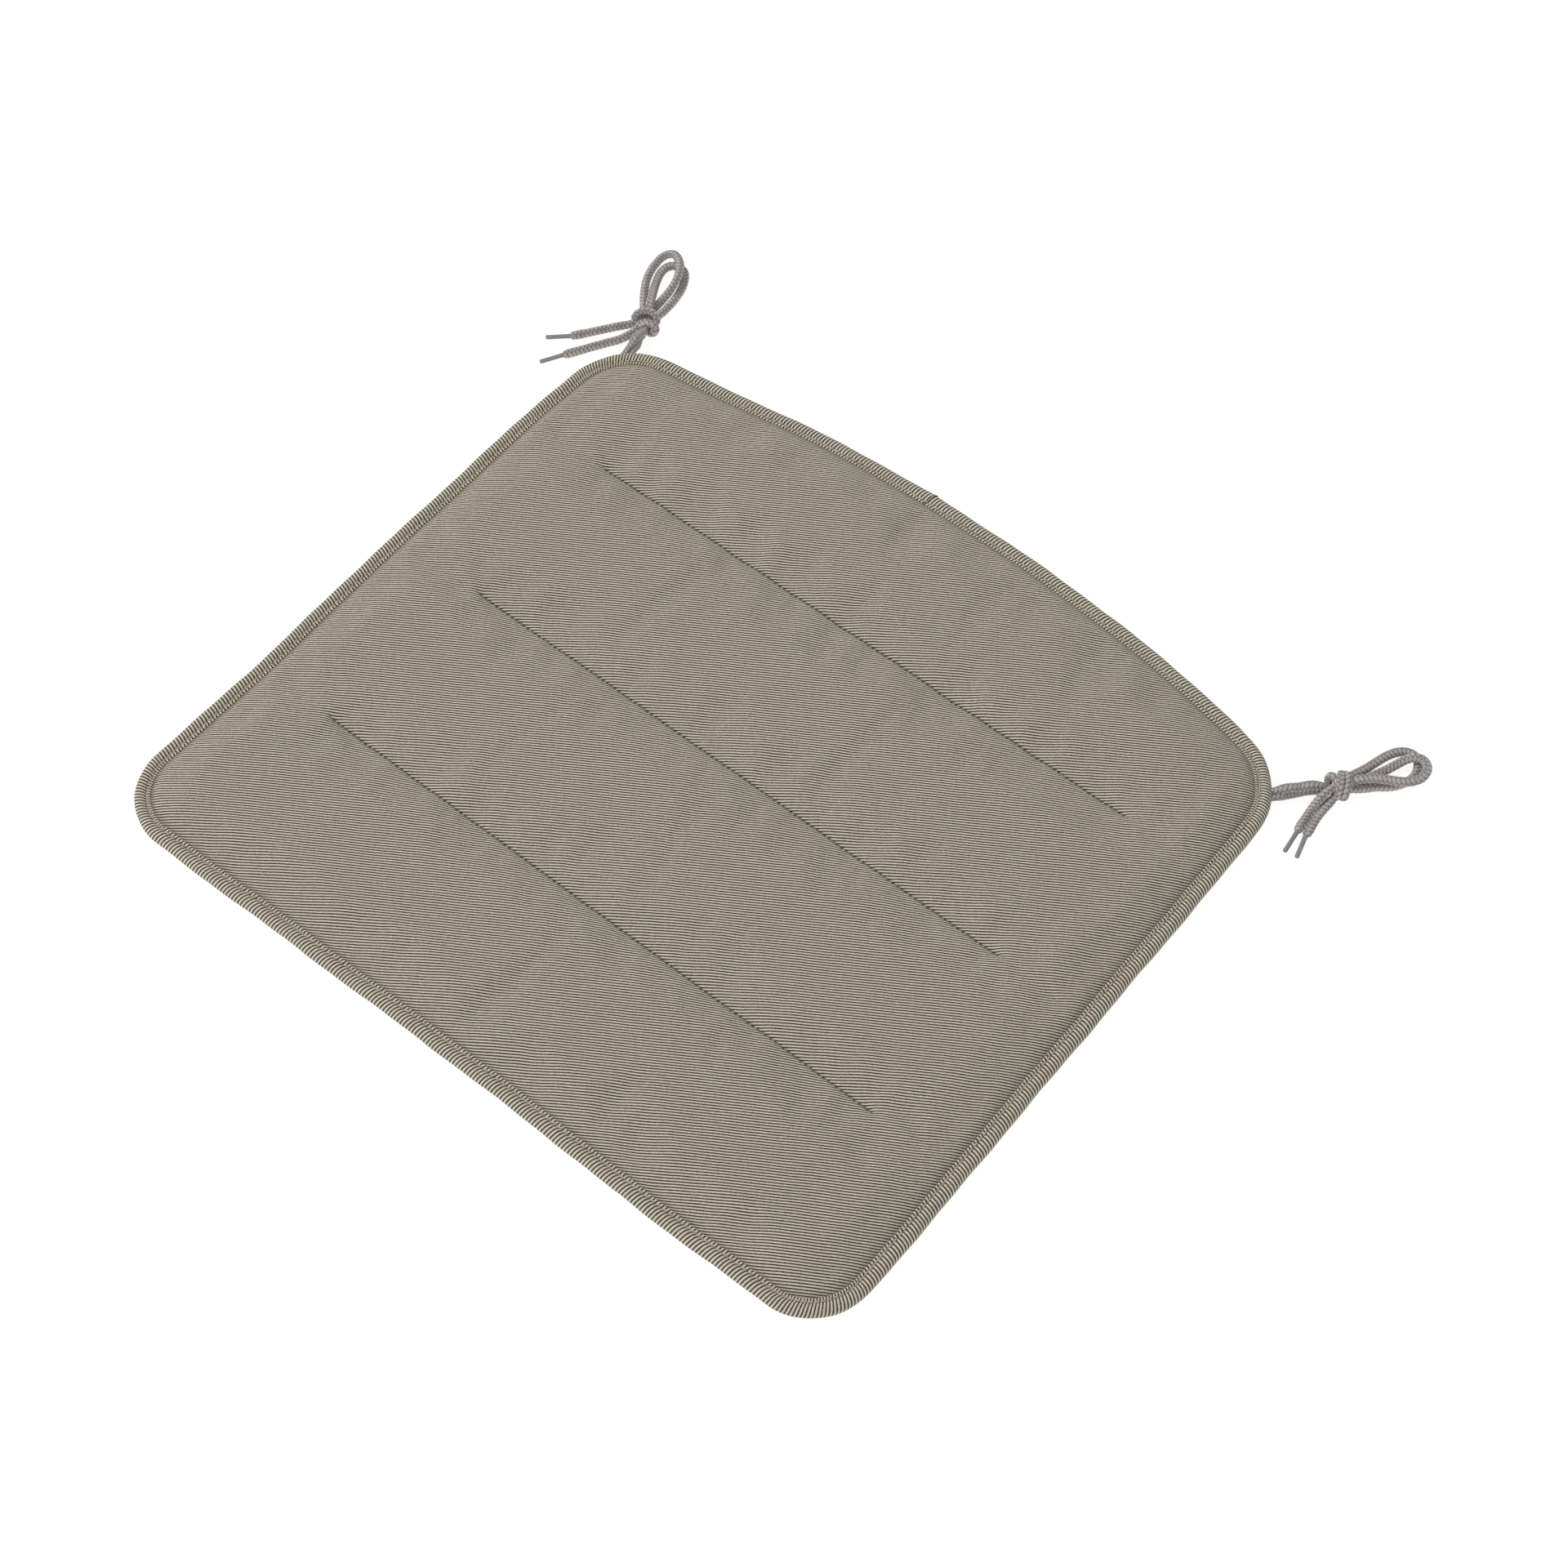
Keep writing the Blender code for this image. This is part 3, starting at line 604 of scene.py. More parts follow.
def cord_girth(path, steps, knot):
    """The share of the cord's radius at each point: squeezed in the seam, drawn tight in the knot, a little
    swollen before the tip and rounded at the very end."""
    seam = 1 - SEAM_SQUEEZE * (1 - ease((steps - 0.010) / 0.006))
    away = np.linalg.norm(path[:, :2] - np.array(knot[0])[:2], axis=1)
    tight = 1 - KNOT_SQUEEZE * (1 - ease((away - KNOT_RADIUS) / 0.004))
    from_end = steps[-1] - steps
    share = np.clip(from_end / END_ROUNDING, 0, 1)
    swollen = END_SWELL * np.exp(-(((from_end - 0.0045) / 0.0025) ** 2))
    return seam * tight * (0.62 + 0.38 * np.sqrt(1 - (1 - share) ** 2) + swollen)


def make_cord(side, strand, knot, route, cord, plastic):
    """One cord with its tip: a braided tube along its whole route."""
    name = f"{side}_cord_{strand}"
    path, steps = smooth_route(route_points(knot, route), CORD_RING_SPACING)
    across, up = frames_along(path)
    angle = np.arange(CORD_SIDES) * 2 * np.pi / CORD_SIDES
    height, yarns = braid(steps[:, None], angle[None, :])
    radius = CORD_DIAMETER / 2 - CORD_RELIEF * (1 - height)
    radius *= cord_girth(path, steps, knot)[:, None]
    rings = path[:, None] + radius[..., None] * (
        np.cos(angle)[None, :, None] * across[:, None] + np.sin(angle)[None, :, None] * up[:, None]
    )
    points = np.vstack([rings.reshape(-1, 3), path[:1], path[-1:]])
    points[:, 2] = np.maximum(points[:, 2], 0)
    piece = new_piece(name, points, tube_faces(len(path), CORD_SIDES), cord)
    # The braid's depth, which the cord's material turns into painted shade between the strands
    set_attribute(piece, "depth", np.append(1 - height.ravel(), [0.5, 0.5]))
    set_attribute(piece, "lay", np.append(yarns.ravel(), [0, 0]))
    tip = make_aglet(f"{side}_aglet_tip_{strand}", path[-1], np.array(route["tip"]), plastic)
    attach(piece, "root")
    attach(tip, "root")
    stretches = [f"{side}_cord_{strand}_{stretch}" for stretch in ("stem", "loop", "tail")]
    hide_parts(*stretches, f"{side}_bow_knot")
    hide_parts(f"{side}_aglet_{strand}")


def make_aglet(name, start, target, plastic):
    """A thin tube pressed onto the cord's end. Its profile is (distance along it, share of its radius), from
    inside the cord to the tip's hollow."""
    way = (target - start) / np.linalg.norm(target - start)
    radius = AGLET_DIAMETER / 2
    profile = [
        (-0.0012, 0.90),
        (-0.0003, 0.97),
        (0.0003, 1.05),
        (0.0009, 1.05),
        (0.0012, 0.98),
        (0.0018, 1.0),
        (0.0060, 0.97),
        (AGLET_LENGTH - 0.0010, 1.0),
        (AGLET_LENGTH - 0.0004, 0.97),
        (AGLET_LENGTH - 0.0001, 0.86),
        (AGLET_LENGTH, 0.66),
        (AGLET_LENGTH - 0.0002, 0.52),
    ]
    across = np.cross(way, (0, 0, 1))
    across /= np.linalg.norm(across)
    up = np.cross(across, way)
    angle = np.arange(AGLET_SIDES) * 2 * np.pi / AGLET_SIDES
    rings = []
    for distance, share in profile:
        circle = np.cos(angle)[:, None] * across + np.sin(angle)[:, None] * up
        rings.append(start + way * distance + circle * radius * share)
    ends = [start + way * profile[0][0], start + way * (profile[-1][0] - 0.0003)]
    return new_piece(name, np.vstack(rings + [ends]), tube_faces(len(profile), AGLET_SIDES), plastic)


def twill_material(name, pitch, lean, edge):
    """Ribbed twill: cream ribs between dark lines, each rib made of slanting floats, with shade painted along
    the creases and in the groove beside the binding. The map is in millimetres of cloth."""
    shading = Shading(name)
    place = shading.node("ShaderNodeUVMap", {}, uv_map="cloth")
    wander = shading.noise(0.05, 2.0, place)
    split = shading.tree.nodes.new("ShaderNodeSeparateXYZ")
    shading.connect(split.inputs[0], place)
    x, y = split.outputs[0], split.outputs[1]
    cos, sin = math.cos(lean), math.sin(lean)
    along = shading.math("ADD", shading.math("MULTIPLY", x, cos), shading.math("MULTIPLY", y, sin))
    across = shading.math("SUBTRACT", shading.math("MULTIPLY", y, cos), shading.math("MULTIPLY", x, sin))
    drift = shading.math("MULTIPLY_ADD", wander, 0.5, -0.25)
    count = shading.math("ADD", shading.math("DIVIDE", across, pitch), drift)
    rib = shading.math("ABSOLUTE", shading.math("SUBTRACT", shading.math("FRACT", count), 0.5))
    half_count = shading.math("MULTIPLY", count, 0.5)
    floats = shading.math("ADD", shading.math("DIVIDE", along, FLOAT_LENGTH), half_count)
    notch = shading.math("ABSOLUTE", shading.math("SUBTRACT", shading.math("FRACT", floats), 0.5))
    notch = shading.ramp(notch, 0.30, 0.5)
    stretch = shading.math("MULTIPLY", along, STREAK_SCALE)
    line = shading.math("MULTIPLY", shading.math("ROUND", count), 3.7)
    ridge = shading.math("MULTIPLY", shading.math("FLOOR", count), 5.3)
    on_line = shading.node("ShaderNodeCombineXYZ", {0: stretch, 1: line})
    on_ridge = shading.node("ShaderNodeCombineXYZ", {0: stretch, 1: ridge, 2: 9.0})
    dark_streak = shading.noise(1.0, 2.0, on_line)
    pale_streak = shading.noise(1.0, 2.0, on_ridge)
    width = shading.math("MULTIPLY_ADD", dark_streak, 0.16, -0.08)
    dark = shading.ramp(shading.math("ADD", rib, width), edge - 0.08, edge + 0.08)
    yarn = shading.noise(2.2, 3.0, place)
    patch = shading.ramp(shading.noise(0.035, 3.0, place), 0.3, 0.7)
    cream = shading.mix(patch, CREAM, CREAM_PATCH)
    cream = shading.mix(shading.ramp(pale_streak, 0.3, 0.7), cream, CREAM_STREAK)
    cream = shading.mix(shading.ramp(yarn, 0.35, 0.8), cream, CREAM_YARN)
    brown = shading.mix(shading.ramp(yarn, 0.3, 0.7), BROWN, BROWN_YARN)
    cream = shading.mix(shading.math("MULTIPLY", notch, 0.25), cream, brown)
    colour = shading.mix(dark, cream, brown)
    # Painted shade: the colour darkens along the creases and in the groove beside the binding
    painted_shade = shading.node("ShaderNodeAttribute", {}, "Fac", attribute_name="painted_shade")
    colour = shading.mix(shading.math("MULTIPLY", painted_shade, 0.85), colour, PAINTED_SHADE_BROWN)
    relief = shading.math("SUBTRACT", shading.ramp(rib, 0.42, 0.16), shading.math("MULTIPLY", notch, 0.3))
    relief = shading.math("ADD", relief, shading.math("MULTIPLY", yarn, 0.3))
    return shading.finish(
        Base_Color=colour,
        Roughness=0.9,
        Sheen_Weight=0.1,
        Sheen_Roughness=0.45,
        Normal=shading.bump(relief, 0.00025, 0.7),
    )


def thread_material():
    """Cream polyester thread with a fine twist."""
    shading = Shading("thread_polyester")
    twist = shading.noise(2500.0, 2.0)
    bright = (0.56, 0.51, 0.42, 1)
    dull = (0.36, 0.32, 0.25, 1)
    colour = shading.mix(shading.ramp(twist, 0.3, 0.7), bright, dull)
    return shading.finish(Base_Color=colour, Roughness=0.6, Normal=shading.bump(twist, 0.00005, 0.5))


def outline_arcs():
    """The arcs of the outline, anticlockwise from the front right corner: centre, radius, first and last
    direction of the outward normal. The straight sides join their ends."""
    low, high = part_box("edge_binding")
    front = np.array((high.x - FRONT_CORNER_RADIUS, low.y + FRONT_CORNER_RADIUS))
    bow_reach = BACK_BOW_RADIUS - REAR_CORNER_RADIUS
    side_normal = np.array((math.cos(SIDE_TAPER), math.sin(SIDE_TAPER)))
    bow = np.array((0, high.y - BACK_BOW_RADIUS))
    aside = side_normal.dot(front) + FRONT_CORNER_RADIUS - REAR_CORNER_RADIUS - side_normal.dot(bow)
    turn = SIDE_TAPER + math.acos(aside / bow_reach)
    rear = bow + bow_reach * np.array((math.cos(turn), math.sin(turn)))
    mirror = np.array((-1, 1))
    half_turn = math.pi
    return [
        (front, FRONT_CORNER_RADIUS, -half_turn / 2, SIDE_TAPER),
        (rear, REAR_CORNER_RADIUS, SIDE_TAPER, turn),
        (bow, BACK_BOW_RADIUS, turn, half_turn - turn),
        (rear * mirror, REAR_CORNER_RADIUS, half_turn - turn, half_turn - SIDE_TAPER),
        (front * mirror, FRONT_CORNER_RADIUS, half_turn - SIDE_TAPER, half_turn * 1.5),
    ]


def outline(step, start_x=None):
    """Evenly spaced points of the outline with their outward normals, anticlockwise from the front right
    corner, or from the back edge at start_x."""
    points = []
    normals = []
    for centre, radius, first, last in outline_arcs():
        angle = np.linspace(first, last, 400)
        normal = np.stack([np.cos(angle), np.sin(angle)], axis=1)
        points.append(centre + radius * normal)
        normals.append(normal)
    points = np.vstack(points)
    normals = np.vstack(normals)
    if start_x is not None:
        first = np.argmin(np.hypot(points[:, 0] - start_x, points[:, 1] - points[:, 1].max()))
        points = np.roll(points, -first, axis=0)
        normals = np.roll(normals, -first, axis=0)
    points = np.vstack([points, points[:1]])
    normals = np.vstack([normals, normals[:1]])
    along = np.append(0, np.cumsum(np.linalg.norm(np.diff(points, axis=0), axis=1)))
    steps = np.linspace(0, along[-1], round(along[-1] / step), endpoint=False)
    even = [np.interp(steps, along, values) for values in (*points.T, *normals.T)]
    place = np.stack(even[:2], axis=1)
    normal = np.stack(even[2:], axis=1)
    normal /= np.linalg.norm(normal, axis=1)[:, None]
    for middle, reach, out in EDGE_PULLS:
        away = np.linalg.norm(place - middle, axis=1) / reach
        place = place + normal * (out * ease(1 - away))[:, None]
    return place, normal, steps


def nearest_on_edge(points, edge, normals):
    """How far inside the outline each point lies, and the outline's point nearest to it."""
    squares = (points**2).sum(axis=1)[:, None] - 2 * points @ edge.T + (edge**2).sum(axis=1)
    nearest = np.argmin(squares, axis=1)
    return ((edge[nearest] - points) * normals[nearest]).sum(axis=1), nearest


def depth_inside(points, edge, normals):
    """How far inside the outline each point lies."""
    return nearest_on_edge(points, edge, normals)[0]


def ease(share):
    """A smooth step from 0 to 1."""
    share = np.clip(share, 0, 1)
    return share * share * (3 - 2 * share)


def swell(inset):
    """Height of the panel before it is filled: low at the rim, then up over the flank and the shoulder."""
    share = np.clip((inset - LIP_INSET) / FLANK_WIDTH, 0, 1)
    flank = (FLANK_HEIGHT - RIM_HEIGHT) * (1 - (1 - share) ** 2) ** FLANK_POWER
    return RIM_HEIGHT + flank + (FIELD_HEIGHT - FLANK_HEIGHT) * ease((inset - LIP_INSET) / SHOULDER_WIDTH)


def row_drift(points, inset):
    """The rows run a little askew: how far each point is carried towards the front."""
    return -ROW_DRIFT * ease(points[:, 0] / 0.30 + 0.5) * ease((inset - LIP_INSET) / 0.02)


def row_terms(points):
    """For each quilting row, how far each point is across it and past its end."""
    for y, start, end in QUILT_ROWS.values():
        yield points[:, 1] - y, np.maximum(start - points[:, 0], points[:, 0] - end)


def panel_layout(spacing, insets, row_offsets):
    """Points and triangles that fill the outline inside the rim: rings near the edge, a grid inside them,
    and extra lines along the quilting rows. The rim's points come first, and their number comes back too."""
    edge, normals, _ = outline(spacing)
    rings = [edge - inset * normals for inset in insets]
    low, high = edge.min(axis=0), edge.max(axis=0)
    columns = np.arange(low[0], high[0], spacing)
    lines = np.arange(low[1], high[1], spacing)
    reach = max(row_offsets) + spacing / 2
    for y, _, _ in QUILT_ROWS.values():
        lines = lines[np.abs(lines - y) > reach]
        lines = np.append(lines, [y + side * offset for offset in row_offsets for side in (-1, 1)])
    lines = np.unique(np.round(lines, 6))
    grid = np.stack(np.meshgrid(columns, lines), axis=-1).reshape(-1, 2)
    grid = grid[depth_inside(grid, edge, normals) > insets[-1] + 0.6 * spacing]
    points = np.vstack(rings + [grid])
    count = len(edge)
    border = [(i, (i + 1) % count) for i in range(count)]
    made = delaunay_2d_cdt([Vector(p) for p in points], border, [], 1, 1e-7)
    return points, [tuple(face) for face in made[2]], count


def closed_cushion(points, faces, rim, upper, lower):
    """The layout as a closed cushion: a panel at the height upper, one below it, and a narrow wall at the
    rim."""
    top = np.column_stack([points, MIDDLE_Z + upper])
    bottom = np.column_stack([points, MIDDLE_Z - lower])
    size = len(points)
    under = [tuple(size + i for i in reversed(face)) for face in faces]
    wall = []
    for i in range(rim):
        j = (i + 1) % rim
        wall.append((j, i, size + i, size + j))
    return np.vstack([top, bottom]), faces + under + wall


def filled_cushion():
    """The cushion's shape from a cloth simulation: panels with a little slack, sewn down at the rim and the
    rows, and filled from inside."""
    points, faces, rim = panel_layout(CLOTH_MESH, CLOTH_RINGS, (0.0, CLOTH_MESH / 2))
    inset = depth_inside(points, *outline(CLOTH_MESH)[:2])
    height = swell(inset)
    held = inset < LIP_INSET + 0.0005
    for across, past in row_terms(points):
        near = np.exp(-np.abs(across) / ROW_REACH) * ease(-past / ROW_REACH)
        height = height + (ROW_HEIGHT - height) * near
        held |= (np.abs(across) < 1e-5) & (past < 0)
    places, all_faces = closed_cushion(points, faces, rim, height, height)
    piece = new_piece("cushion_form", places, all_faces, None)
    pinned = piece.vertex_groups.new(name="sewn")
    pinned.add([int(i) for i in np.flatnonzero(np.tile(held, 2))], 1.0, "REPLACE")
    cloth = piece.modifiers.new("cloth", "CLOTH")
    settings = cloth.settings
    settings.vertex_group_mass = "sewn"
    settings.quality = 6
    settings.mass = 0.2
    settings.tension_stiffness = 25
    settings.compression_stiffness = 25
    settings.shear_stiffness = 8
    settings.bending_stiffness = 4
    settings.shrink_min = -0.004
    settings.use_pressure = True
    settings.uniform_pressure_force = CLOTH_PRESSURE
    settings.effector_weights.gravity = 0
    cloth.collision_settings.use_collision = False
    cloth.point_cache.frame_end = CLOTH_FRAMES
    for step in range(1, CLOTH_FRAMES + 1):
        bpy.context.scene.frame_set(step)
    shaped = piece.evaluated_get(bpy.context.evaluated_depsgraph_get())
    moved = np.empty(len(places) * 3)
    shaped.data.vertices.foreach_get("co", moved)
    move = moved.reshape(-1, 3) - places
    length = np.linalg.norm(move, axis=1)[:, None]
    move *= np.minimum(1, CLOTH_REACH / np.maximum(length, 1e-9))
    piece.modifiers.remove(cloth)
    piece.data.vertices.foreach_set("co", (places + move).ravel())
    piece.data.update()
    bpy.context.scene.frame_set(1)
    return piece


def heights_of(piece, points, above):
    """Height of the piece's surface at each point, from above or from below."""
    shaped = piece.evaluated_get(bpy.context.evaluated_depsgraph_get())
    side = 1 if above else -1
    start = side * RAY_START
    way = Vector((0, 0, -side))
    heights = np.full(len(points), MIDDLE_Z)
    for i, (x, y) in enumerate(points):
        hit, place, _, _ = shaped.ray_cast(Vector((x, y, start)), way)
        if hit:
            heights[i] = place.z
    return heights


def crease_fields(points):
    """Depth of the quilting creases with the pinch at their ends, the cloth that they take up, and the
    shade painted along each crease."""
    depth = np.zeros(len(points))
    taken = np.zeros(len(points))
    painted_shade = np.zeros(len(points))
    for across, past in row_terms(points):
        inside = ease(-past / 0.005 + 0.3)
        depth += CREASE_DEPTH * np.exp(-np.abs(across) / CREASE_WIDTH) * inside
        depth += VALLEY_DEPTH * np.exp(-np.abs(across) / VALLEY_WIDTH) * inside
        out = np.hypot(np.maximum(past + 0.002, -0.02) / 1.6, across)
        depth += PINCH_DEPTH * np.exp(-((out / PINCH_WIDTH) ** 2))
        share = np.sign(across) * (1 - np.exp(-np.abs(across) / TAKE_UP_WIDTH))
        taken += ease(-past / TAKE_UP_FADE + 1.0) * CREASE_TAKE_UP / 2 * share
        # Painted shade along the crease
        painted_shade = np.maximum(painted_shade, np.exp(-((across / CREASE_SHADE_WIDTH) ** 2)) * inside)
    return depth, taken, painted_shade


def pucker(points):
    """Small folds that fan out past the ends of the rows."""
    lift = np.zeros(len(points))
    for y, start, end in QUILT_ROWS.values():
        for side, stop in ((-1, -start), (1, end)):
            u = side * points[:, 0] - stop + 0.004
            v = points[:, 1] - y
            r = np.hypot(u, v)
            angle = np.arctan2(v, u)
            fan = np.cos(FAN_FOLDS * angle + 0.8 * side) * np.exp(-(((r - FAN_RADIUS) / FAN_WIDTH) ** 2))
            lift += FAN_HEIGHT * fan * ease((r - FAN_START) / 0.006)
    return lift


def panel_waves(points, seed):
    """The soft unevenness of the filling, and the shallow waves that the rows draw across the cloth. They
    are nearly twice as high behind the back row."""
    lift = []
    for x, y in points:
        broad = noise.noise(Vector((x * SWELL_WAVES[0] + seed, y * SWELL_WAVES[1], seed)))
        ripple = noise.noise(Vector((x * RIPPLE_WAVES[0] + seed, y * RIPPLE_WAVES[1], 3 + seed)))
        back = 1 + 0.9 * max(0.0, min(1.0, (y - BACK_RIPPLES_Y) / 0.02))
        lift.append(SWELL_HEIGHT * broad + RIPPLE_HEIGHT * back * ripple)
    return np.array(lift)


def cloth_map(points, inset, taken, flipped):
    """Each point's place on the flat cloth, in millimetres: more cloth lies on the flank and in the
    creases."""
    slope = np.clip((LIP_INSET + FLANK_WIDTH - inset) / FLANK_WIDTH, 0, 1.5)
    edge, normals, _ = outline(0.004)
    nearest = nearest_on_edge(points, edge, normals)[1]
    place = points + normals[nearest] * (FLANK_SLACK * slope**2)[:, None]
    place[:, 1] += taken
    if flipped:
        place[:, 0] *= -1
    return place * 1000


def panel_height(form, points, inset, depth, above):
    """Height of the finished panel: the filled cushion's, with waves, folds and creases, all fading out
    towards the binding."""
    height = np.abs(heights_of(form, points, above) - MIDDLE_Z)
    seed = 0.0 if above else 7.3
    height += ease((inset - LIP_INSET) / 0.012) * (panel_waves(points, seed) + pucker(points))
    height -= depth * ease((inset - LIP_INSET) / 0.01)
    return np.clip(height, LEAST_HEIGHT, MIDDLE_Z + (TOP_PUFF if above else -FLOOR_GAP))


def make_cushion(cloth):
    """The two panels over their filling, as one closed piece."""
    form = filled_cushion()
    form.modifiers.new("smoothing", "SUBSURF").levels = 1
    points, faces, rim = panel_layout(PANEL_MESH, PANEL_RINGS, CREASE_OFFSETS)
    inset = depth_inside(points, *outline(0.002)[:2])
    depth, taken, painted_shade = crease_fields(points)
    # Painted shade in the groove beside the binding
    painted_shade = np.maximum(painted_shade, GROOVE_SHADE * np.exp(-(((inset - LIP_INSET) / GROOVE_SHADE_WIDTH) ** 2)))
    upper = panel_height(form, points, inset, depth, True)
    lower = panel_height(form, points, inset, depth, False)
    bpy.data.objects.remove(form)
    places, all_faces = closed_cushion(points, faces, rim, upper, lower)
    places[:, 1] += np.tile(row_drift(points, inset), 2)
    piece = new_piece("quilted_cushion", places, all_faces, cloth)
    maps = np.vstack([cloth_map(points, inset, taken, False), cloth_map(points, inset, taken, True)])
    set_map(piece, maps)
    # The painted shade, for the cloth's material to read
    set_attribute(piece, "painted_shade", np.tile(painted_shade, 2))
    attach(piece, "root")
    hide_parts("top_cover_panel", "bottom_cover_panel", "foam_pad")
    return piece


def set_map(piece, places):
    """Stores a place on the flat cloth for every vertex, in millimetres."""
    layer = piece.data.uv_layers.new(name="cloth")
    corners = np.empty(len(piece.data.loops), np.int32)
    piece.data.loops.foreach_get("vertex_index", corners)
    layer.data.foreach_set("uv", np.asarray(places, np.float32)[corners].ravel())


def binding_shift(steps, total):
    """How far the binding's edge stands out: a slight wander, and a bulge on each side of the join."""
    turns = 2 * np.pi * steps / total
    wander = sum(height * np.sin(waves * turns + phase) for height, waves, phase in BINDING_WANDER)
    bulges = zip((total - steps, steps), JOIN_BULGES)
    return wander, sum(height * np.exp(-away / length) for away, (height, length) in bulges)


def binding_section():
    """The strip's section, from the upper lip round the edge to the lower one, as (inset, height over the
    middle), and how far each of its points is along the cloth from the edge."""
    upper, _ = smooth_route([(inset, height, 0) for inset, height in BINDING_SECTION], SECTION_STEP)
    section = np.vstack([upper[::-1], upper[1:] * (1, -1, 1)])[:, :2]
    across = np.append(0, np.cumsum(np.linalg.norm(np.diff(section, axis=0), axis=1)))
    return section[:, 0], section[:, 1], across - across[-1] / 2


def binding_shape(inset, height, steps, total):
    """The section at each step along the edge: pinched between stitches, wandering a little, and one end
    lapped over the other at the join. Gives its insets and heights, and how far it leans along the edge."""
    wander, lap = binding_shift(steps, total)
    to_end = total - steps
    lift = JOIN_LAP * (np.exp(-steps / JOIN_LAP_LENGTH) - np.exp(-to_end / JOIN_LAP_LENGTH))
    pinch = SEAM_PINCH * (0.5 - 0.5 * np.cos(2 * np.pi * steps / STITCH_PITCH))
    near_seam = np.exp(-(((inset - BINDING_STITCH_INSET) / SEAM_PINCH_WIDTH) ** 2))
    heights = height * (1 - near_seam * pinch[:, None]) + np.sign(height) * lift[:, None]
    outer = 1 - ease(inset / BINDING_STITCH_INSET)
    out = (wander + lap + lift)[:, None] * outer + 0.8 * wander[:, None] * (1 - outer)
    near_join = np.exp(-steps / JOIN_SLANT_LENGTH) + np.exp(-to_end / JOIN_SLANT_LENGTH)
    lean = (inset - BINDING_STITCH_INSET) * JOIN_SLANT * near_join[:, None]
    return inset - out, heights, lean


def make_binding(cloth):
    """The strip, swept round the edge. Its two ends meet at a slanting join, one lapped over the other."""
    edge, normals, steps = outline(BINDING_STEP, BINDING_JOIN_X)
    total = steps[-1] + BINDING_STEP
    edge = np.vstack([edge, edge[:1]])
    normals = np.vstack([normals, normals[:1]])
    steps = np.append(steps, total)
    inset, height, across = binding_section()
    insets, heights, lean = binding_shape(inset, height, steps, total)
    ways = np.column_stack([-normals[:, 1], normals[:, 0]])
    flat = edge[:, None] - insets[..., None] * normals[:, None] + lean[..., None] * ways[:, None]
    places = np.concatenate([flat, MIDDLE_Z + heights[..., None]], axis=2)
    rings, size = places.shape[:2]
    faces = []
    for i in range(rings - 1):
        for j in range(size - 1):
            a = i * size + j
            faces.append((a, a + 1, a + size + 1, a + size))
    piece = new_piece("bound_edge", places.reshape(-1, 3), faces, cloth)
    maps = np.stack([np.broadcast_to(across, (rings, size)), steps[:, None] + lean], axis=2)
    set_map(piece, maps.reshape(-1, 2) * 1000)
    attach(piece, "root")
    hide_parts("edge_binding")


def stitch_row(name, centres, ways, ups, node, material):
    """A row of short rounded stitches, each lying along its way with its ends dipping in."""
    sides = 8
    shares = np.array([-0.5, -0.42, -0.25, 0.0, 0.25, 0.42, 0.5])
    arch = THREAD_DIAMETER * (0.35 - 3.2 * shares**2)
    width = THREAD_DIAMETER / 2 * np.array([0.55, 0.9, 1, 1, 1, 0.9, 0.55])
    angle = np.arange(sides) * 2 * np.pi / sides
    points = []
    faces = []
    for centre, way, up in zip(centres, ways, ups):
        first = len(points)
        across = np.cross(way, up)
        for share, lift, radius in zip(shares, arch, width):
            middle = centre + way * share * STITCH_LENGTH + up * lift
            for a in angle:
                points.append(middle + radius * (math.cos(a) * across + math.sin(a) * up))
        points.append(centre + way * shares[0] * STITCH_LENGTH * 1.02 + up * arch[0])
        points.append(centre + way * shares[-1] * STITCH_LENGTH * 1.02 + up * arch[-1])
        faces += tube_faces(len(shares), sides, first)
    piece = new_piece(name, points, faces, material)
    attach(piece, "root")
    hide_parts(node)


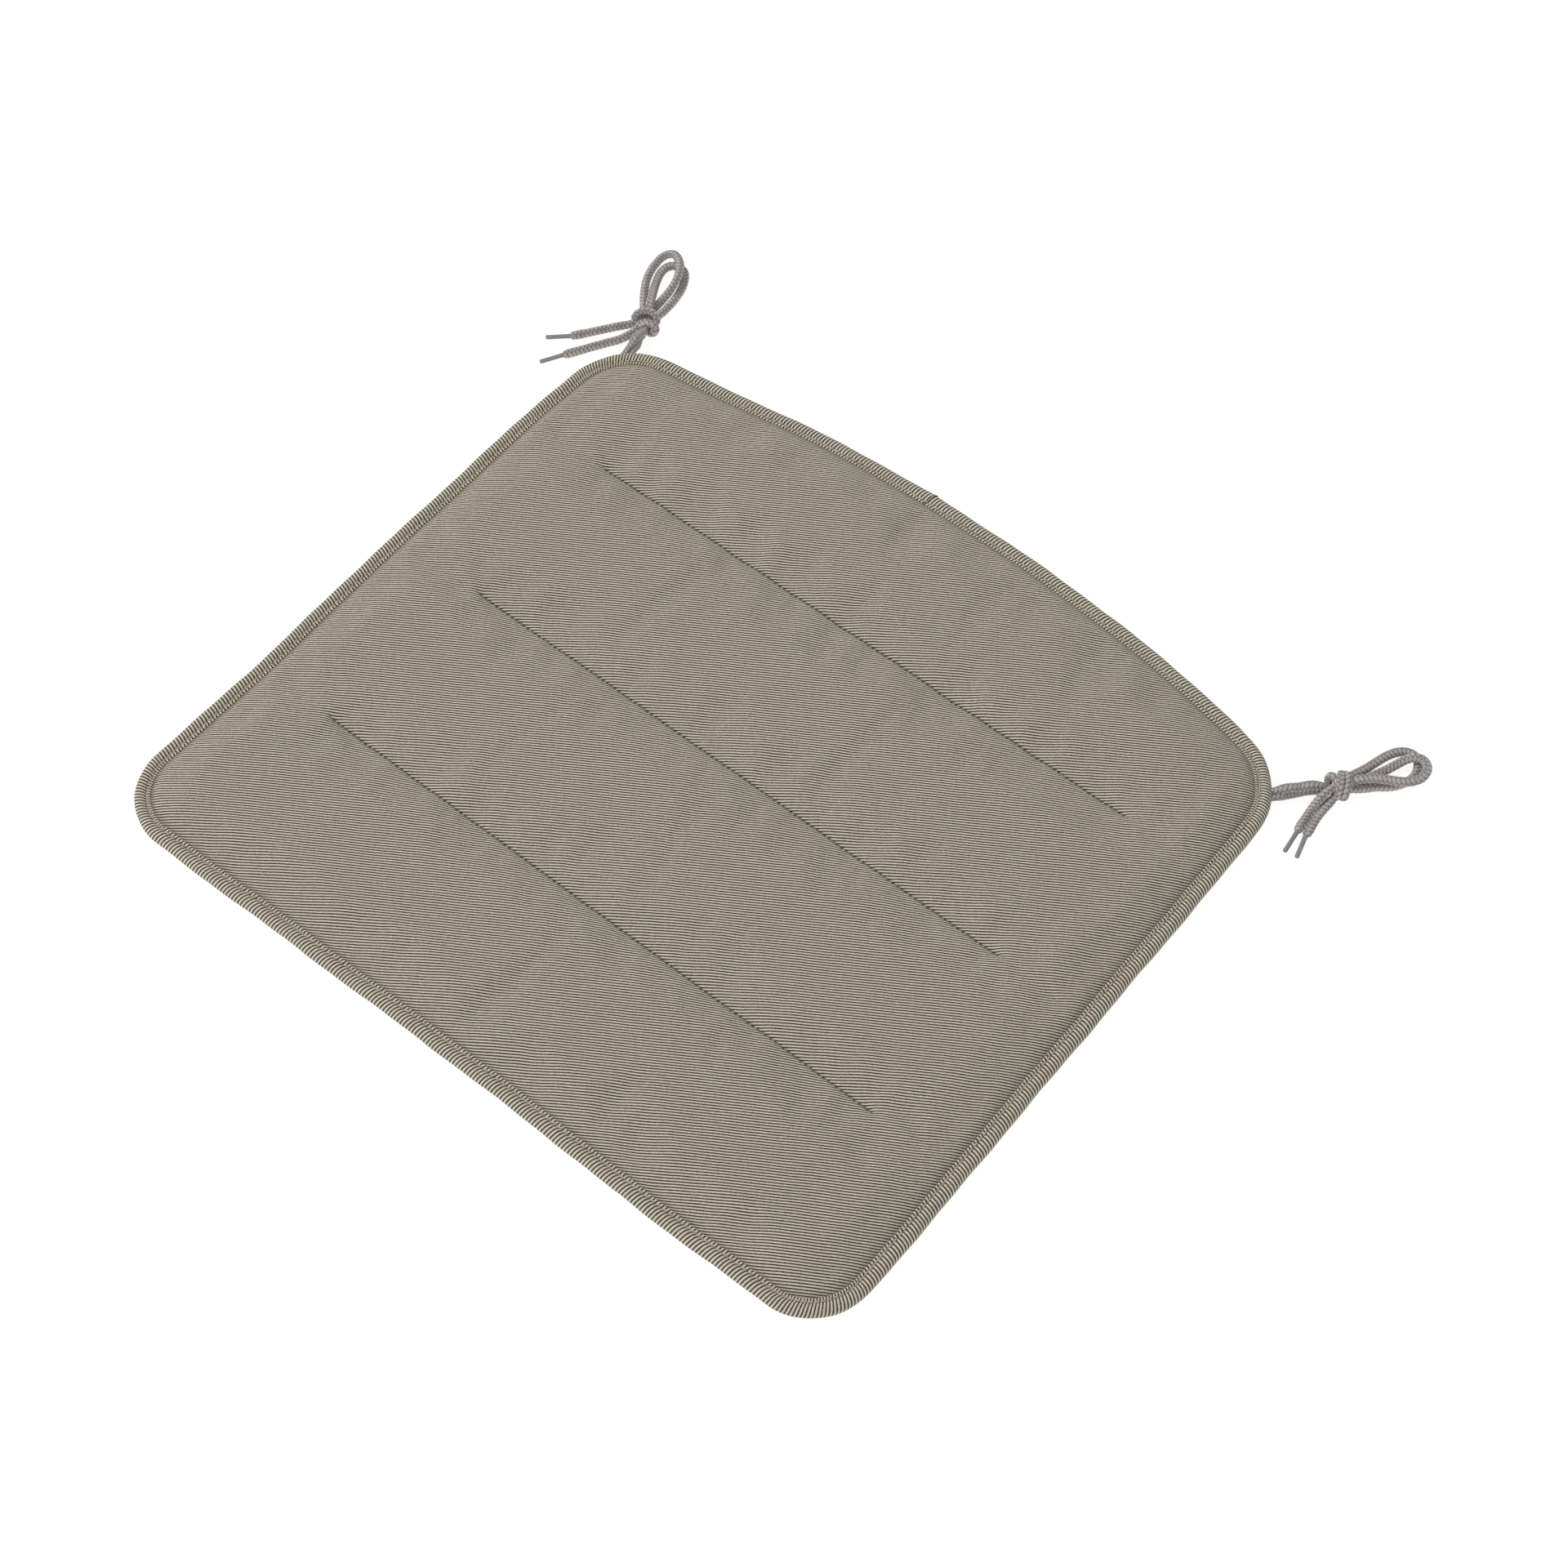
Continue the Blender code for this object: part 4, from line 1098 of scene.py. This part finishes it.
def make_binding_stitches(material):
    """The seam that holds the binding, on both faces."""
    edge, normals, _ = outline(STITCH_PITCH, BINDING_JOIN_X)
    flat = edge - BINDING_STITCH_INSET * normals
    ways = np.column_stack([-normals[:, 1], normals[:, 0], np.zeros(len(normals))])
    for name, side in (("top", 1), ("bottom", -1)):
        height = np.full(len(flat), MIDDLE_Z + side * BINDING_STITCH_HEIGHT)
        centres = np.column_stack([flat, height])
        ups = np.tile((0.0, 0.0, side), (len(flat), 1))
        stitch_row(f"binding_stitches_{name}", centres, ways, ups, f"binding_thread_{name}", material)


def make_quilt_stitches(cushion, material):
    """The stitches of each row, lying at the bottom of the crease on both faces."""
    for name, (y, start, end) in QUILT_ROWS.items():
        x = np.arange(start + STITCH_PITCH, end - STITCH_PITCH, STITCH_PITCH)
        flat = np.column_stack([x, np.full(len(x), y)])
        flat[:, 1] += row_drift(flat, np.full(len(x), 1.0))
        centres = []
        ups = []
        for above in (True, False):
            centres.append(np.column_stack([flat, heights_of(cushion, flat, above)]))
            ups.append(np.tile((0.0, 0.0, 1.0 if above else -1.0), (len(x), 1)))
        ways = np.tile((1.0, 0.0, 0.0), (2 * len(x), 1))
        label = f"quilt_stitches_{name}"
        stitch_row(label, np.vstack(centres), ways, np.vstack(ups), f"quilt_thread_{name}", material)


def make_pad():
    """The cushion, its binding and all its stitches."""
    thread = thread_material()
    cushion = make_cushion(twill_material("cover_twill", TWILL_PITCH, TWILL_ANGLE, TWILL_LINE))
    make_binding(twill_material("binding_twill", STRIPE_PITCH, STRIPE_ANGLE, STRIPE_LINE))
    make_binding_stitches(thread)
    make_quilt_stitches(cushion, thread)


def make_floor():
    """A wide pale floor under the pad."""
    corners = [(x * FLOOR_REACH, y * FLOOR_REACH, 0) for x, y in ((-1, -1), (1, -1), (1, 1), (-1, 1))]
    floor = new_piece("floor", corners, [(0, 1, 2, 3)], floor_material())


def make_cords():
    """Both bows, each of two cords."""
    cord = cord_material()
    plastic = aglet_material()
    for side, (knot, routes) in BOWS.items():
        for strand, route in routes.items():
            make_cord(side, strand, knot, route, cord, plastic)


place_camera()
light_the_studio()
make_floor()
make_cords()
make_pad()
